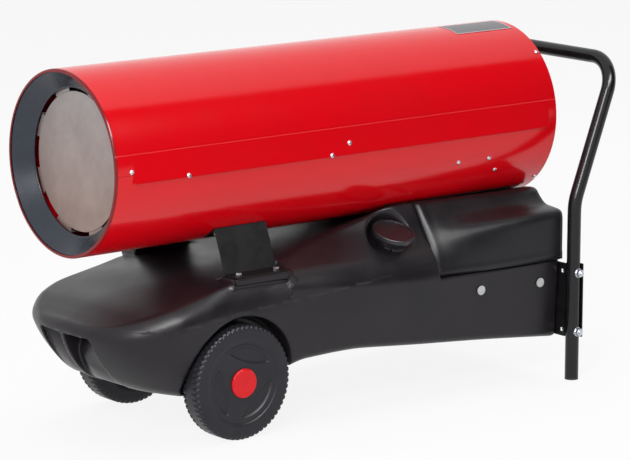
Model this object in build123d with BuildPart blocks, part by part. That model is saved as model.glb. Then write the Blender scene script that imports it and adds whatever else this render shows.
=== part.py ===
"""Portable direct-fired forced air heater.

A red sheet-metal tube holds the combustion chamber, burner, motor and fan. It stands on a
moulded fuel tank with two wheels in front and a bent tube behind that is legs and handle in
one. Warm air leaves towards -X, the handle is at +X, and the controls are on the left, -Y.
The origin is on the floor under the middle of the heater. Millimetres.
"""
import os
from math import acos, cos, degrees, pi, radians, sin, sqrt, tan

from build123d import *

# ---------------------------------------------------------------- driving dimensions
tube_radius = 160           # outside of the red tube
tube_tail = 49.5            # tube behind the fan
axis_height = 480           # tube axis above the floor
shell_gauge = 1.2           # sheet of the two half shells
seam_gap = 0.3
lip_depth = 5.5             # inward edge at the outlet
lip_bend = 3
flange_angle = 8            # where the upper shell's straight sides begin, above the axis
flange_drop = 38            # length of those straight sides
flange_start = 35.5         # the sides stop short of both ends of the tube
flange_end = 18
strip_start = 48            # joint strips inside the seam
strip_end = 22
strip_upper_angle = 7
strip_lower_angle = -9

screw_head_radius = 4.2
screw_head_height = 2.6
screw_radius = 2
screw_length = 9
screw_clearance = 0.3
seam_screw_angle = 1.8
mid_screw_setback = 491
mid_screw_height = 5        # above the axis
hook_setbacks = (145, 451)  # screws that the straight sides hook over
hook_inset = 3              # up from the lower edge of those sides
band_screw_angle = 46

collar_length = 42          # cylindrical part of the outlet cone, inside the shells
collar_screw_inset = 11
cone_gauge = 1
cone_mouth_radius = 154
cone_throat_radius = 125.5
cone_depth = 31
cone_bead_radius = 2

disc_radius = 119.4
disc_setback = 35           # front face behind the outlet rim
disc_gauge = 1.5

chamber_radius = 128
chamber_gauge = 1
chamber_window = 28         # length of the openings behind the disc
chamber_length = 553
chamber_tabs = 8
chamber_tab_width = 44
chamber_bracket_setbacks = (150, 520)
chamber_bracket_angles = (-30, -90, -150)
chamber_bracket_length = 34
chamber_bracket_gauge = 2
chamber_bracket_foot = 18

burner_radius = 58
burner_gauge = 1.5
burner_length = 60
burner_reach = 10           # how far the burner cup stands inside the chamber
burner_throat_radius = 30
burner_flange_width = 16
spider_inset = 18           # nozzle carrier plate, in from the cup's rear edge
nozzle_radius = 8
nozzle_length = 16
nozzle_holder_radius = 11
nozzle_pipe_radius = 4
electrode_spread = 16
electrode_height = 38
insulator_radius = 5
insulator_length = 46
electrode_wire_radius = 1.5
electrode_reach = 5
sensor_radius = 8
sensor_length = 32

pump_radius = 30
pump_length = 40
pump_gap = 48               # from the burner cup to the pump
adaptor_length = 26
adaptor_wall = 4
pump_port_radius = 5
pump_port_reach = 32
pump_port_spacing = 22
pump_port_inset = 9
valve_radius = 13
valve_height = 36
hose_radius = 4
fitting_side = 152          # hose fittings on the tank, from the middle
fitting_pad_height = 284
fitting_pad_size = 26
lead_radius = 3
coupling_radius = 13

motor_radius = 58
motor_bore = 44
motor_length = 96
shield_thickness = 10
bearing_radius = 17.5
bearing_width = 8
shaft_radius = 7
rotor_core_radius = 42
running_clearance = 0.05
fit_clearance = 0.1
loose_clearance = 0.3

fan_gap = 14                # from the motor's rear shield to the fan hub
fan_hub_radius = 34
fan_hub_length = 46
fan_tip_radius = 148
fan_blades = 8
fan_blade_chord = 58
fan_blade_gauge = 2
fan_pitch = 32

carrier_drop = 62           # top of the motor's carrier plate, below the axis
carrier_overhang = 10       # plate ahead of the motor's front shield
carrier_length = 122
carrier_gauge = 2
carrier_screw_angles = (-22, -22, -32.5)
carrier_screw_insets = (9, 82, 108)
capacitor_radius = 17
capacitor_length = 62
transformer_length = 80
transformer_width = 70
transformer_height = 50
terminal_radius = 5
terminal_length = 8

guard_band_width = 16
guard_wire_radius = 2
guard_ring_step = 23
guard_inset = 3
guard_spoke_angles = (30, 90, 150)

plate_setback = 834
plate_length = 132
plate_width = 53
plate_angle = 81.5
plate_gauge = 0.8

tank_half_width = 188
tank_wall = 4
tank_end = 970              # rear face behind the outlet rim
nose_overhang = 8           # tank nose ahead of the outlet rim
nose_recess_depth = 14
nose_rib_width = 10
nose_roof = (62, 191)       # across and up: top corners of the recess under the nose
nose_foot = (146, 110)
cradle_clearance = 0.2

wheel_radius = 100
wheel_width = 44
wheel_setback = 245         # axle behind the outlet rim
wheel_outer_face = 181      # outer faces either side of the middle
wheel_lugs = 60
lug_depth = 1.8
wheel_pocket_radius = 24
wheel_pocket_depth = 11
wheel_groove_radius = 66
wheel_groove_width = 7
wheel_hub_radius = 30
wheel_hub_overhang = 4
tyre_round = 6
lug_gap_share = 0.35        # of each lug's pitch
lug_row_share = 0.3         # of the wheel's width
lens_turns = (-17, 103, 223)
lens_near = 35              # nearest and furthest from the axle
lens_far = 62.8
lens_centre = 162           # centre of the arc that bulges towards the axle
lens_depth = 3
axle_overhang = 6           # past the outer ends of the hubs
arch_radius = 111
arch_inner = 130
axle_radius = 10
axle_clamp_side = 84
axle_clamp_width = 30
axle_clamp_length = 84
axle_clamp_gauge = 3
clamp_bolt_inset = 12
washer_radius = 16
washer_gauge = 2
hub_cap_radius = 25.7
hub_cap_height = 4.5
hub_cap_skirt = 5
hub_cap_wall = 1.5

handle_radius = 12.5
handle_wall = 1.5
leg_gap = 8                 # from the tank's rear face to the leg centres
leg_spread = 213            # leg centres either side of the middle
lean_start = 330
handle_height = 583
handle_lean = 21.2
handle_corner = 60
lean_bend = 90
foot_height = 3
foot_plug_length = 16

saddle_start = 243
saddle_length = 110
saddle_gauge = 2
saddle_top_inner = 72       # across the tube, where the bracket lies on it
saddle_top_outer = 100
saddle_foot_inner = 130
saddle_foot_outer = 166
saddle_pad_height = 278.5
saddle_bolt_side = 150
saddle_bolt_inset = 15
rear_saddle_start = 632
rear_saddle_length = 300
rear_saddle_angle = 34
rear_saddle_gauge = 2

neck_setback = 607
neck_side = 140
neck_rim_height = 303
neck_tilt = 21
neck_radius = 24
neck_bore = 20
neck_length = 42
neck_step_bore = 17.5
neck_step_depth = 12
cap_radius = 39
cap_thickness = 9
cap_skirt_radius = 29
cap_skirt_depth = 13
cap_skirt_flare = 6
cap_wall = 3
cap_round = 2
cap_rim = 4
cap_recess = 2
cap_tab = 9
cap_tabs = 4
cap_pocket_radius = 46      # scoop in the tank around the cap
cap_pocket_depth = 15       # below the neck's rim
gasket_thickness = 2
strainer_length = 52
strainer_wall = 0.8
strainer_flange = 1.4
strainer_rows = 4
strainer_row_step = 10
strainer_slots = 10

control_start = 683
control_end = 968
control_wall = 3
control_floor = 222         # floor of the recess in the tank under the controls
control_lip = 226           # lower edge of the cover
control_side = 193
control_inner = 88
control_shoulder = 314      # rounded corners of the cover, across and up
control_rise = 4
control_waist = 146
control_crest = 118
control_top = 347
control_edge = 342
control_shoulder_round = 18
control_waist_round = 16
control_crest_round = 10
panel_thickness = 3
panel_inset = 3
knob_spot = (-160, 285)     # places on the panel, across and up
button_spot = (-125, 300)
lamp_spot = (-125, 265)
socket_spot = (-160, 250)
gland_spot = (-110, 245)
knob_radius = 16
knob_height = 15
knob_grip_width = 7
knob_shaft_radius = 3
button_radius = 6
button_height = 6
lamp_radius = 6
lamp_height = 4
socket_radius = 15
socket_height = 9
socket_body_radius = 11
socket_bore = 9
socket_lid_gauge = 3
hinge_knuckle_radius = 2.5
hinge_knuckle_width = 8
hinge_ear_width = 3
hinge_pin_radius = 1
gland_radius = 10
gland_height = 18
gland_bore = 3.5
board_length = 130
board_width = 62
board_gauge = 1.6
board_standoff = 6

bolt_radius = 3
bolt_head_radius = 5.5
bolt_head_height = 4
bolt_length = 14
leg_bolt_radius = 4
leg_bolt_head_radius = 7.5
leg_bolt_head_height = 5
leg_nut_height = 6.5
leg_washer_radius = 8.5
leg_washer_gauge = 1.6
leg_bolt_heights = (91, 201)
leg_plate_gauge = 2.5
leg_plate_bottom = 79
leg_plate_top = 216
leg_plate_inner = 150
leg_plate_outer = 224
leg_plate_bolt_side = 166
plate_bolt_low = 30         # in from the plate's lower and upper ends
plate_bolt_high = 24
plug_radius = 8.5
plug_head = 2
plug_stem_radius = 6
plug_stem_length = 10
plug_places = ((778, 189), (921, 184))
drain_setback = 800
drain_radius = 15
drain_head = 5
drain_stem_radius = 10

# ---------------------------------------------------------------- shared frame
leg_setback = tank_end + leg_gap
handle_setback = leg_setback + (handle_height - lean_start) * tan(radians(handle_lean))
overall_reach = handle_setback + handle_radius
outlet_x = (nose_overhang - overall_reach) / 2
shell_inner = tube_radius - shell_gauge
MIN_Z = (Align.CENTER, Align.CENTER, Align.MIN)
MAX_Z = (Align.CENTER, Align.CENTER, Align.MAX)
LEFT, RIGHT = -1, 1
SIDES = (LEFT, RIGHT)
FORWARD, REARWARD = (-1, 0, 0), (1, 0, 0)


def behind(setback):
    """Global x of a point that lies this far behind the outlet rim."""
    return outlet_x + setback


def cross_plane(setback, height=0):
    """Sketch plane across the heater: local x is +Y, local y is +Z, normal is +X."""
    return Plane(origin=(behind(setback), 0, height), x_dir=(0, 1, 0), z_dir=(1, 0, 0))


def tube_plane(setback):
    """Sketch plane across the tube, centred on its axis."""
    return cross_plane(setback, axis_height)


def on_tube(setback, angle, radius=tube_radius):
    """Plane that faces out of the tube, angle in degrees up from its left side."""
    turn = radians(angle)
    out = (0, -cos(turn), sin(turn))
    return Plane(origin=(behind(setback), radius * out[1], axis_height + radius * out[2]),
                 x_dir=(1, 0, 0), z_dir=out)


def at(setback, y, z, direction):
    """Plane at a point of the heater, with its normal along the given direction."""
    return Plane(origin=(behind(setback), y, z), z_dir=direction)


def ring_sector(inner, outer, start_angle, end_angle):
    """Part of a ring in the current sketch, angles measured up from the left side."""
    Circle(outer)
    Circle(inner, mode=Mode.SUBTRACT)
    steps = 6
    turns = [radians(start_angle + (end_angle - start_angle) * i / steps)
             for i in range(steps + 1)]
    rim = [(-2 * outer * cos(turn), 2 * outer * sin(turn)) for turn in turns]
    Polygon((0, 0), *rim, align=None, mode=Mode.INTERSECT)


def rod(place, radius, length, mode=Mode.ADD):
    """Round rod that starts on the place's plane and runs along its normal."""
    with Locations(place):
        Cylinder(radius, length, align=MIN_Z, mode=mode)


def bore(place, radius, depth):
    """Round hole that goes in from the place's plane, and is open outwards."""
    with Locations(place.offset(depth)):
        Cylinder(radius, 2 * depth, align=MAX_Z, mode=Mode.SUBTRACT)


def pan_screw(place):
    """Round-headed screw whose head sits on the place's plane and whose shank goes in."""
    edge = screw_head_height * 0.4
    with Locations(place):
        Cylinder(screw_head_radius, edge, align=MIN_Z)
        Cylinder(screw_radius, screw_length, align=MAX_Z)
    with Locations(place.offset(edge)):
        Cone(screw_head_radius, screw_head_radius * 0.55, screw_head_height - edge, align=MIN_Z)


def hexagon_bolt(place, head_radius, head_height, shank_radius, length):
    """Hexagon-headed bolt whose head sits on the place's plane and whose shank goes in."""
    with BuildSketch(place) as head:
        RegularPolygon(head_radius, 6)
    extrude(head.sketch, amount=head_height)
    with Locations(place):
        Cylinder(shank_radius, length, align=MAX_Z)


def route_radii(points, name):
    """Largest arc for each corner of a hose or lead, from its two runs and its turn."""
    corners = [Vector(*p) for p in points]
    radii = []
    for before, corner, after in zip(corners, corners[1:], corners[2:]):
        run_in, run_out = corner - before, after - corner
        turn = radians(run_in.get_angle(run_out))
        radii.append(0.45 * min(run_in.length, run_out.length) / tan(turn / 2))
    print(name, "radii", [round(radius, 1) for radius in radii])
    return radii


def flexible(points, radius, name):
    """Tube of a hose or lead: straight runs joined by tangent arcs."""
    with BuildLine() as route:
        FilletPolyline(*points, radius=route_radii(points, name))
    start, along = route.line @ 0, route.line % 0
    with BuildSketch(Plane(origin=start, z_dir=along)) as section:
        Circle(radius)
    sweep(section.sketch, path=route.line)


def save(piece, name):
    """Label a finished piece and write it to its own file."""
    piece.part.label = name
    export_step(piece.part, f"parts/{name}.step")


os.makedirs("parts", exist_ok=True)

# ---------------------------------------------------------------- places along the tube
chamber_setback = disc_setback + disc_gauge
chamber_end = chamber_setback + chamber_length
burner_start = chamber_end - burner_reach
burner_end = burner_start + burner_length
spider_setback = burner_end - spider_inset
pump_start = burner_end + pump_gap
pump_end = pump_start + pump_length
motor_start = pump_end + adaptor_length          # front face of the front shield
stator_start = motor_start + shield_thickness
stator_end = stator_start + motor_length
motor_end = stator_end + shield_thickness
carrier_start = motor_start - carrier_overhang
fan_start = motor_end + fan_gap
fan_end = fan_start + fan_hub_length
tube_length = fan_end + tube_tail
collar_screw_setback = collar_length - collar_screw_inset
band_setback = tube_length - guard_band_width / 2
side_plane = Plane(origin=(0, 0, axis_height), x_dir=(1, 0, 0), z_dir=(0, -1, 0))
tube_axis = Axis((0, 0, axis_height), (1, 0, 0))
axis_level = Plane(origin=(0, 0, axis_height))
tilt = radians(flange_angle)


def flange_point(drop):
    """Across and up from the tube axis, on a straight side this far below its bend."""
    return (tube_radius * cos(tilt) + drop * sin(tilt),
            tube_radius * sin(tilt) - drop * cos(tilt))


def on_flange(setback, side, drop):
    """Plane on the outside of one of the upper shell's straight sides."""
    across, up = flange_point(drop)
    return Plane(origin=(behind(setback), side * across, axis_height + up),
                 x_dir=(1, 0, 0), z_dir=(0, side * cos(tilt), sin(tilt)))


mid_drop = (tube_radius * sin(tilt) - mid_screw_height) / cos(tilt)
hook_drop = flange_drop - hook_inset
collar_screws = [on_tube(collar_screw_setback, angle)
                 for angle in (seam_screw_angle, 180 - seam_screw_angle, -90)]
mid_screws = [on_flange(mid_screw_setback, side, mid_drop) for side in SIDES]
hook_screws = [on_flange(setback, side, hook_drop) for setback in hook_setbacks for side in SIDES]
band_screws = [on_tube(band_setback, angle) for angle in
               (band_screw_angle, 180 - band_screw_angle, -band_screw_angle,
                band_screw_angle - 180)]
carrier_screws = [on_tube(carrier_start + inset, turn)
                  for inset, angle in zip(carrier_screw_insets, carrier_screw_angles)
                  for turn in (angle, 180 - angle)]
screw_hole = screw_radius + screw_clearance


def shell_sheet():
    """Closed tube of sheet with a rolled inward edge at the outlet."""
    front, rear = behind(0), behind(tube_length)
    bend_end = front + lip_bend
    lip = tube_radius - lip_depth
    inner_bend = lip_bend - shell_gauge
    turn = sqrt(0.5)
    with BuildSketch(side_plane) as sheet:
        with BuildLine():
            Polyline((bend_end, tube_radius), (rear, tube_radius), (rear, shell_inner),
                     (bend_end, shell_inner))
            ThreePointArc((bend_end, shell_inner),
                          (bend_end - inner_bend * turn,
                           tube_radius - lip_bend + inner_bend * turn),
                          (front + shell_gauge, tube_radius - lip_bend))
            Polyline((front + shell_gauge, tube_radius - lip_bend), (front + shell_gauge, lip),
                     (front, lip), (front, tube_radius - lip_bend))
            ThreePointArc((front, tube_radius - lip_bend),
                          (bend_end - lip_bend * turn, tube_radius - lip_bend * (1 - turn)),
                          (bend_end, tube_radius))
        make_face()
    revolve(sheet.sketch, axis=tube_axis)


# ---------------------------------------------------------------- upper shell
straight_length = tube_length - flange_start - flange_end
with BuildPart() as upper_shell:
    shell_sheet()
    split(bisect_by=axis_level, keep=Keep.TOP)
    bend_across, bend_up = flange_point(0)
    foot_across, foot_up = flange_point(flange_drop)
    with BuildSketch(tube_plane(flange_start)):
        Rectangle(3 * tube_radius, bend_up, align=(Align.CENTER, Align.MIN))
    extrude(amount=straight_length, mode=Mode.SUBTRACT)
    with BuildSketch(tube_plane(flange_start)):
        in_across, in_up = -shell_gauge * cos(tilt), -shell_gauge * sin(tilt)
        for side in SIDES:
            Polygon((side * bend_across, bend_up), (side * foot_across, foot_up),
                    (side * (foot_across + in_across), foot_up + in_up),
                    (side * (bend_across + in_across), bend_up + in_up), align=None)
            # a little of the bend's own arc joins the straight side to the shell
            Polygon((side * bend_across, bend_up),
                    (side * (bend_across + in_across), bend_up + in_up),
                    (side * (bend_across + in_across), bend_up + 0.3),
                    (side * (bend_across - 0.05), bend_up + 0.3), align=None)
    extrude(amount=straight_length)
    for place in collar_screws[:2] + mid_screws + band_screws[:2] + hook_screws:
        bore(place, screw_hole, screw_length)
    hook_edge = axis_height + foot_up
    hook_across = flange_point(hook_drop)[0]
    with Locations([(behind(setback), side * hook_across, hook_edge)
                    for setback in hook_setbacks for side in SIDES]):
        Box(2 * screw_hole, 6, 2 * hook_inset, mode=Mode.SUBTRACT)
save(upper_shell, "upper_shell")

# ---------------------------------------------------------------- lower shell
hose_hole_angle = -138
hose_setbacks = (pump_start + pump_port_inset,
                 pump_start + pump_port_inset + pump_port_spacing)
hose_holes = [on_tube(setback, hose_hole_angle) for setback in hose_setbacks]
saddle_top_angles = [-degrees(acos(across / tube_radius))
                     for across in (saddle_top_inner, saddle_top_outer)]
saddle_hole_angle = sum(saddle_top_angles) / 2
saddle_top_bolts = [on_tube(saddle_start + inset, angle, tube_radius + saddle_gauge
                            + fit_clearance)
                    for inset in (saddle_bolt_inset, saddle_length - saddle_bolt_inset)
                    for angle in (saddle_hole_angle, 180 - saddle_hole_angle)]
strip_length = tube_length - strip_start - strip_end
strip_inner = shell_inner - shell_gauge
with BuildPart() as lower_shell:
    shell_sheet()
    split(bisect_by=axis_level.offset(-seam_gap), keep=Keep.BOTTOM)
    with BuildSketch(tube_plane(strip_start)):
        ring_sector(strip_inner, shell_inner - fit_clearance, strip_lower_angle,
                    strip_upper_angle)
        mirror(about=Plane.YZ)
    extrude(amount=strip_length)
    with BuildSketch(tube_plane(strip_start)):
        ring_sector(strip_inner, tube_radius - shell_gauge / 2, strip_lower_angle, -1)
        mirror(about=Plane.YZ)
    extrude(amount=strip_length)
    for place in collar_screws[2:] + mid_screws + band_screws[2:] + hook_screws + carrier_screws:
        bore(place, screw_hole, screw_length)
    for place in hose_holes:
        bore(place, hose_radius + loose_clearance, screw_length)
    for place in saddle_top_bolts:
        bore(place, bolt_radius + screw_clearance, bolt_length)
save(lower_shell, "lower_shell")

# ---------------------------------------------------------------- outlet cone
cone_front = behind(lip_bend + fit_clearance)
with BuildPart() as outlet_cone:
    with BuildSketch(side_plane) as cone_sheet:
        collar_outer = shell_inner - fit_clearance
        throat_x = behind(cone_depth)
        with BuildLine():
            Polyline((behind(collar_length), collar_outer), (cone_front, collar_outer),
                     (cone_front, cone_mouth_radius), (throat_x, cone_throat_radius),
                     (throat_x, cone_throat_radius + cone_gauge),
                     (cone_front + cone_gauge, cone_mouth_radius + cone_gauge / 2),
                     (cone_front + cone_gauge, collar_outer - cone_gauge),
                     (behind(collar_length), collar_outer - cone_gauge), close=True)
        make_face()
        with Locations((throat_x, cone_throat_radius + cone_bead_radius)):
            Circle(cone_bead_radius)
    revolve(axis=tube_axis)
    for place in collar_screws:
        bore(place, screw_hole, screw_length)
save(outlet_cone, "outlet_cone")

# ---------------------------------------------------------------- combustion chamber
chamber_inner = chamber_radius - chamber_gauge
tab_reach = 10
with BuildPart() as combustion_chamber:
    with BuildSketch(tube_plane(chamber_setback)):
        Circle(chamber_radius)
        Circle(chamber_inner, mode=Mode.SUBTRACT)
    extrude(amount=chamber_length)
    with BuildSketch(tube_plane(chamber_end - chamber_gauge)):
        Circle(chamber_radius)
        Circle(burner_radius + loose_clearance, mode=Mode.SUBTRACT)
    extrude(amount=chamber_gauge)
    # the mouth is cut into tabs that bend in and carry the disc
    with BuildSketch(tube_plane(chamber_setback)):
        Circle(chamber_radius)
        Circle(disc_radius - tab_reach, mode=Mode.SUBTRACT)
    extrude(amount=chamber_gauge)
    window_width = 2 * chamber_radius * sin(radians(180 / chamber_tabs)) - chamber_tab_width
    with Locations(tube_plane(chamber_setback)):
        with PolarLocations(chamber_radius, chamber_tabs):
            Box(3 * tab_reach, window_width, 2 * chamber_window, mode=Mode.SUBTRACT)
save(combustion_chamber, "combustion_chamber")

# ---------------------------------------------------------------- front disc
with BuildPart() as front_disc:
    with BuildSketch(tube_plane(disc_setback)):
        Circle(disc_radius)
    extrude(amount=disc_gauge)
    fillet(front_disc.faces().sort_by(Axis.X)[0].edges(), disc_gauge * 0.6)
save(front_disc, "front_disc")

# ---------------------------------------------------------------- chamber brackets
bracket_inner = chamber_radius + fit_clearance
bracket_outer = shell_inner - fit_clearance
bracket_middle = (bracket_inner + bracket_outer) / 2
with BuildPart() as chamber_brackets:
    for setback in chamber_bracket_setbacks:
        for angle in chamber_bracket_angles:
            spread = chamber_bracket_foot / 2
            with BuildSketch(tube_plane(setback)) as web:
                with Locations(Rotation(0, 0, 180 - angle)):
                    with Locations((bracket_middle, 0)):
                        Rectangle(bracket_outer - bracket_inner + 4, chamber_bracket_gauge)
                    with Locations((bracket_inner, spread), (bracket_outer, -spread)):
                        Rectangle(2 * chamber_bracket_gauge, chamber_bracket_foot)
                Circle(bracket_inner, mode=Mode.SUBTRACT)
                Circle(bracket_outer, mode=Mode.INTERSECT)
            extrude(web.sketch, amount=chamber_bracket_length)
save(chamber_brackets, "chamber_brackets")

# ---------------------------------------------------------------- burner
holder_hole = nozzle_holder_radius + fit_clearance
electrode_places = [at(burner_end - 4, side * electrode_spread, axis_height + electrode_height,
                       FORWARD) for side in SIDES]
sensor_drop = electrode_height
with BuildPart() as burner_head:
    with BuildSketch(tube_plane(burner_start)):
        Circle(burner_radius)
        Circle(burner_radius - burner_gauge, mode=Mode.SUBTRACT)
    extrude(amount=burner_length)
    with BuildSketch(tube_plane(burner_start)):
        Circle(burner_radius)
        Circle(burner_throat_radius, mode=Mode.SUBTRACT)
    extrude(amount=burner_gauge)
    with BuildSketch(tube_plane(chamber_end + fit_clearance)):
        Circle(burner_radius + burner_flange_width)
        Circle(burner_radius - burner_gauge, mode=Mode.SUBTRACT)
    extrude(amount=burner_gauge)
    with BuildSketch(tube_plane(spider_setback)):
        Circle(burner_radius)
        Circle(holder_hole, mode=Mode.SUBTRACT)
        with Locations(*[(side * electrode_spread, electrode_height) for side in SIDES]):
            Circle(insulator_radius + fit_clearance, mode=Mode.SUBTRACT)
        with Locations((0, -sensor_drop)):
            Circle(sensor_radius + fit_clearance, mode=Mode.SUBTRACT)
        with Locations(*[(side * 0.6 * burner_radius, -4) for side in SIDES]):
            Circle(0.24 * burner_radius, mode=Mode.SUBTRACT)
    extrude(amount=burner_gauge)
save(burner_head, "burner_head")

swirler_setback = burner_start + burner_gauge + fit_clearance
swirler_radius = burner_radius - burner_gauge - fit_clearance
with BuildPart() as air_swirler:
    with BuildSketch(tube_plane(swirler_setback)):
        Circle(swirler_radius)
        Circle(nozzle_radius + 4, mode=Mode.SUBTRACT)
        with PolarLocations(burner_throat_radius - 6, 8):
            Rectangle(18, 3, mode=Mode.SUBTRACT)
    extrude(amount=burner_gauge)
save(air_swirler, "air_swirler")

nozzle_setback = spider_setback - nozzle_length - 2
with BuildPart() as nozzle_holder:
    rod(at(nozzle_setback + nozzle_length, 0, axis_height, REARWARD), nozzle_holder_radius,
        burner_end - nozzle_setback - nozzle_length)
    rod(at(burner_end, 0, axis_height, REARWARD), nozzle_pipe_radius,
        pump_gap - fit_clearance)
save(nozzle_holder, "nozzle_holder")

with BuildPart() as fuel_nozzle:
    rod(at(nozzle_setback + 5, 0, axis_height, REARWARD), nozzle_radius,
        nozzle_length - 5)
    with Locations(at(nozzle_setback, 0, axis_height, REARWARD)):
        Cone(nozzle_radius * 0.4, nozzle_radius, 5, align=MIN_Z)
save(fuel_nozzle, "fuel_nozzle")

with BuildPart() as electrode_insulators:
    for place in electrode_places:
        rod(place, insulator_radius, insulator_length)
        rod(place, electrode_wire_radius + running_clearance, insulator_length, Mode.SUBTRACT)
save(electrode_insulators, "electrode_insulators")

electrode_length = insulator_length + 4 + electrode_reach
with BuildPart() as electrodes:
    for place in electrode_places:
        rod(place.offset(-4), electrode_wire_radius, electrode_length)
save(electrodes, "electrodes")

with BuildPart() as flame_sensor:
    rod(at(spider_setback - 4, 0, axis_height - sensor_drop, REARWARD), sensor_radius,
        sensor_length)
save(flame_sensor, "flame_sensor")

# ---------------------------------------------------------------- motor, shaft and fan
with BuildPart() as motor_body:
    with BuildSketch(tube_plane(stator_start)):
        Circle(motor_radius)
        with PolarLocations(motor_radius, 24):
            Rectangle(3, 3)
        Rectangle(motor_radius, carrier_drop, align=(Align.CENTER, Align.MAX))
        Circle(motor_bore, mode=Mode.SUBTRACT)
    extrude(amount=motor_length)
save(motor_body, "motor_body")

with BuildPart() as motor_shields:
    for setback, seat in ((motor_start, stator_start - bearing_width),
                          (stator_end, stator_end)):
        with BuildSketch(tube_plane(setback)) as shield:
            Circle(motor_radius)
            Circle(shaft_radius + 2, mode=Mode.SUBTRACT)
        extrude(shield.sketch, amount=shield_thickness)
        with BuildSketch(tube_plane(seat)) as bearing_seat:
            Circle(bearing_radius + running_clearance)
        extrude(bearing_seat.sketch, amount=bearing_width, mode=Mode.SUBTRACT)
save(motor_shields, "motor_shields")

with BuildPart() as motor_bearings:
    for seat in (stator_start - bearing_width, stator_end):
        with BuildSketch(tube_plane(seat)) as race:
            Circle(bearing_radius)
            Circle(shaft_radius + running_clearance, mode=Mode.SUBTRACT)
        extrude(race.sketch, amount=bearing_width)
save(motor_bearings, "motor_bearings")

coupling_start = pump_end + 2
coupling_end = motor_start - 2
shaft_start = (coupling_start + coupling_end) / 2
shaft_end = fan_end
with BuildPart() as rotor_shaft:
    rod(at(shaft_start, 0, axis_height, REARWARD), shaft_radius, shaft_end - shaft_start)
save(rotor_shaft, "rotor_shaft")

core_gap = 8
with BuildPart() as rotor_core:
    with BuildSketch(tube_plane(stator_start + core_gap)):
        Circle(rotor_core_radius)
        Circle(shaft_radius + running_clearance, mode=Mode.SUBTRACT)
    extrude(amount=motor_length - 2 * core_gap)
save(rotor_core, "rotor_core")

tongue_radius = 4
with BuildPart() as pump_coupling:
    rod(at(coupling_start, 0, axis_height, REARWARD), coupling_radius,
        coupling_end - coupling_start)
    rod(at(shaft_start, 0, axis_height, REARWARD), shaft_radius + running_clearance,
        coupling_end - shaft_start, Mode.SUBTRACT)
    rod(at(coupling_start, 0, axis_height, FORWARD), tongue_radius, 14)
save(pump_coupling, "pump_coupling")

blade_root = fan_hub_radius - 3
blade_length = fan_tip_radius - blade_root
with BuildPart() as fan:
    with BuildSketch(tube_plane(fan_start)):
        Circle(fan_hub_radius)
    extrude(amount=fan_hub_length)
    with Locations(tube_plane(fan_start + fan_hub_length / 2)):
        with PolarLocations(blade_root + blade_length / 2, fan_blades):
            Box(blade_length, fan_blade_chord, fan_blade_gauge, rotation=(fan_pitch, 0, 0))
    with BuildSketch(tube_plane(fan_start)):
        Circle(fan_tip_radius)
    extrude(amount=fan_hub_length, mode=Mode.INTERSECT)
    rod(at(fan_start, 0, axis_height, REARWARD), shaft_radius + running_clearance,
        fan_hub_length, Mode.SUBTRACT)
save(fan, "fan")

carrier_inner = shell_inner - fit_clearance - carrier_gauge
with BuildPart() as motor_carrier:
    with BuildSketch(tube_plane(carrier_start)):
        with Locations((0, -carrier_drop - fit_clearance)):
            Rectangle(2 * tube_radius, carrier_gauge, align=(Align.CENTER, Align.MAX))
        Circle(carrier_inner + carrier_gauge / 2, mode=Mode.INTERSECT)
    extrude(amount=carrier_length)
    with BuildSketch(tube_plane(carrier_start)):
        ring_sector(carrier_inner, carrier_inner + carrier_gauge, -37, -17)
        mirror(about=Plane.YZ)
    extrude(amount=carrier_length)
    for place in carrier_screws:
        bore(place, screw_hole, screw_length)
save(motor_carrier, "motor_carrier")

# ---------------------------------------------------------------- electrics in the tube
plate_under = axis_height - carrier_drop - fit_clearance - carrier_gauge - fit_clearance
with BuildPart() as motor_capacitor:
    rod(at(stator_start + 6, motor_radius + capacitor_radius + 6,
           axis_height - carrier_drop + capacitor_radius, REARWARD), capacitor_radius,
        capacitor_length)
save(motor_capacitor, "motor_capacitor")

transformer_start = stator_start
terminal_drop = 18
terminals = [at(transformer_start, side * electrode_spread, plate_under - terminal_drop, FORWARD)
             for side in SIDES]
with BuildPart() as ignition_transformer:
    with Locations((behind(transformer_start + transformer_length / 2), 0, plate_under)):
        Box(transformer_length, transformer_width, transformer_height, align=MAX_Z)
    fillet(ignition_transformer.edges().filter_by(Axis.Z), 3)
    for place in terminals:
        rod(place, terminal_radius, terminal_length)
save(ignition_transformer, "ignition_transformer")

lead_height = axis_height + electrode_height
with BuildPart() as ignition_leads:
    for side, name in ((LEFT, "left lead"), (RIGHT, "right lead")):
        lead_out = burner_end + fit_clearance
        terminal_x = transformer_start - terminal_length - fit_clearance
        points = [(behind(lead_out), side * electrode_spread, lead_height),
                  (behind(lead_out + 24), side * (electrode_spread + 1), lead_height),
                  (behind(lead_out + 38), side * 24, lead_height - 18),
                  (behind(lead_out + 38.5), side * 30, lead_height - 53),
                  (behind(lead_out + 34.5), side * 30, lead_height - 86),
                  (behind(lead_out + 44.5), side * 26, lead_height - 108),
                  (behind(lead_out + 80), side * electrode_spread, plate_under - terminal_drop),
                  (behind(terminal_x), side * electrode_spread, plate_under - terminal_drop)]
        flexible(points, lead_radius, name)
save(ignition_leads, "ignition_leads")

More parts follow.
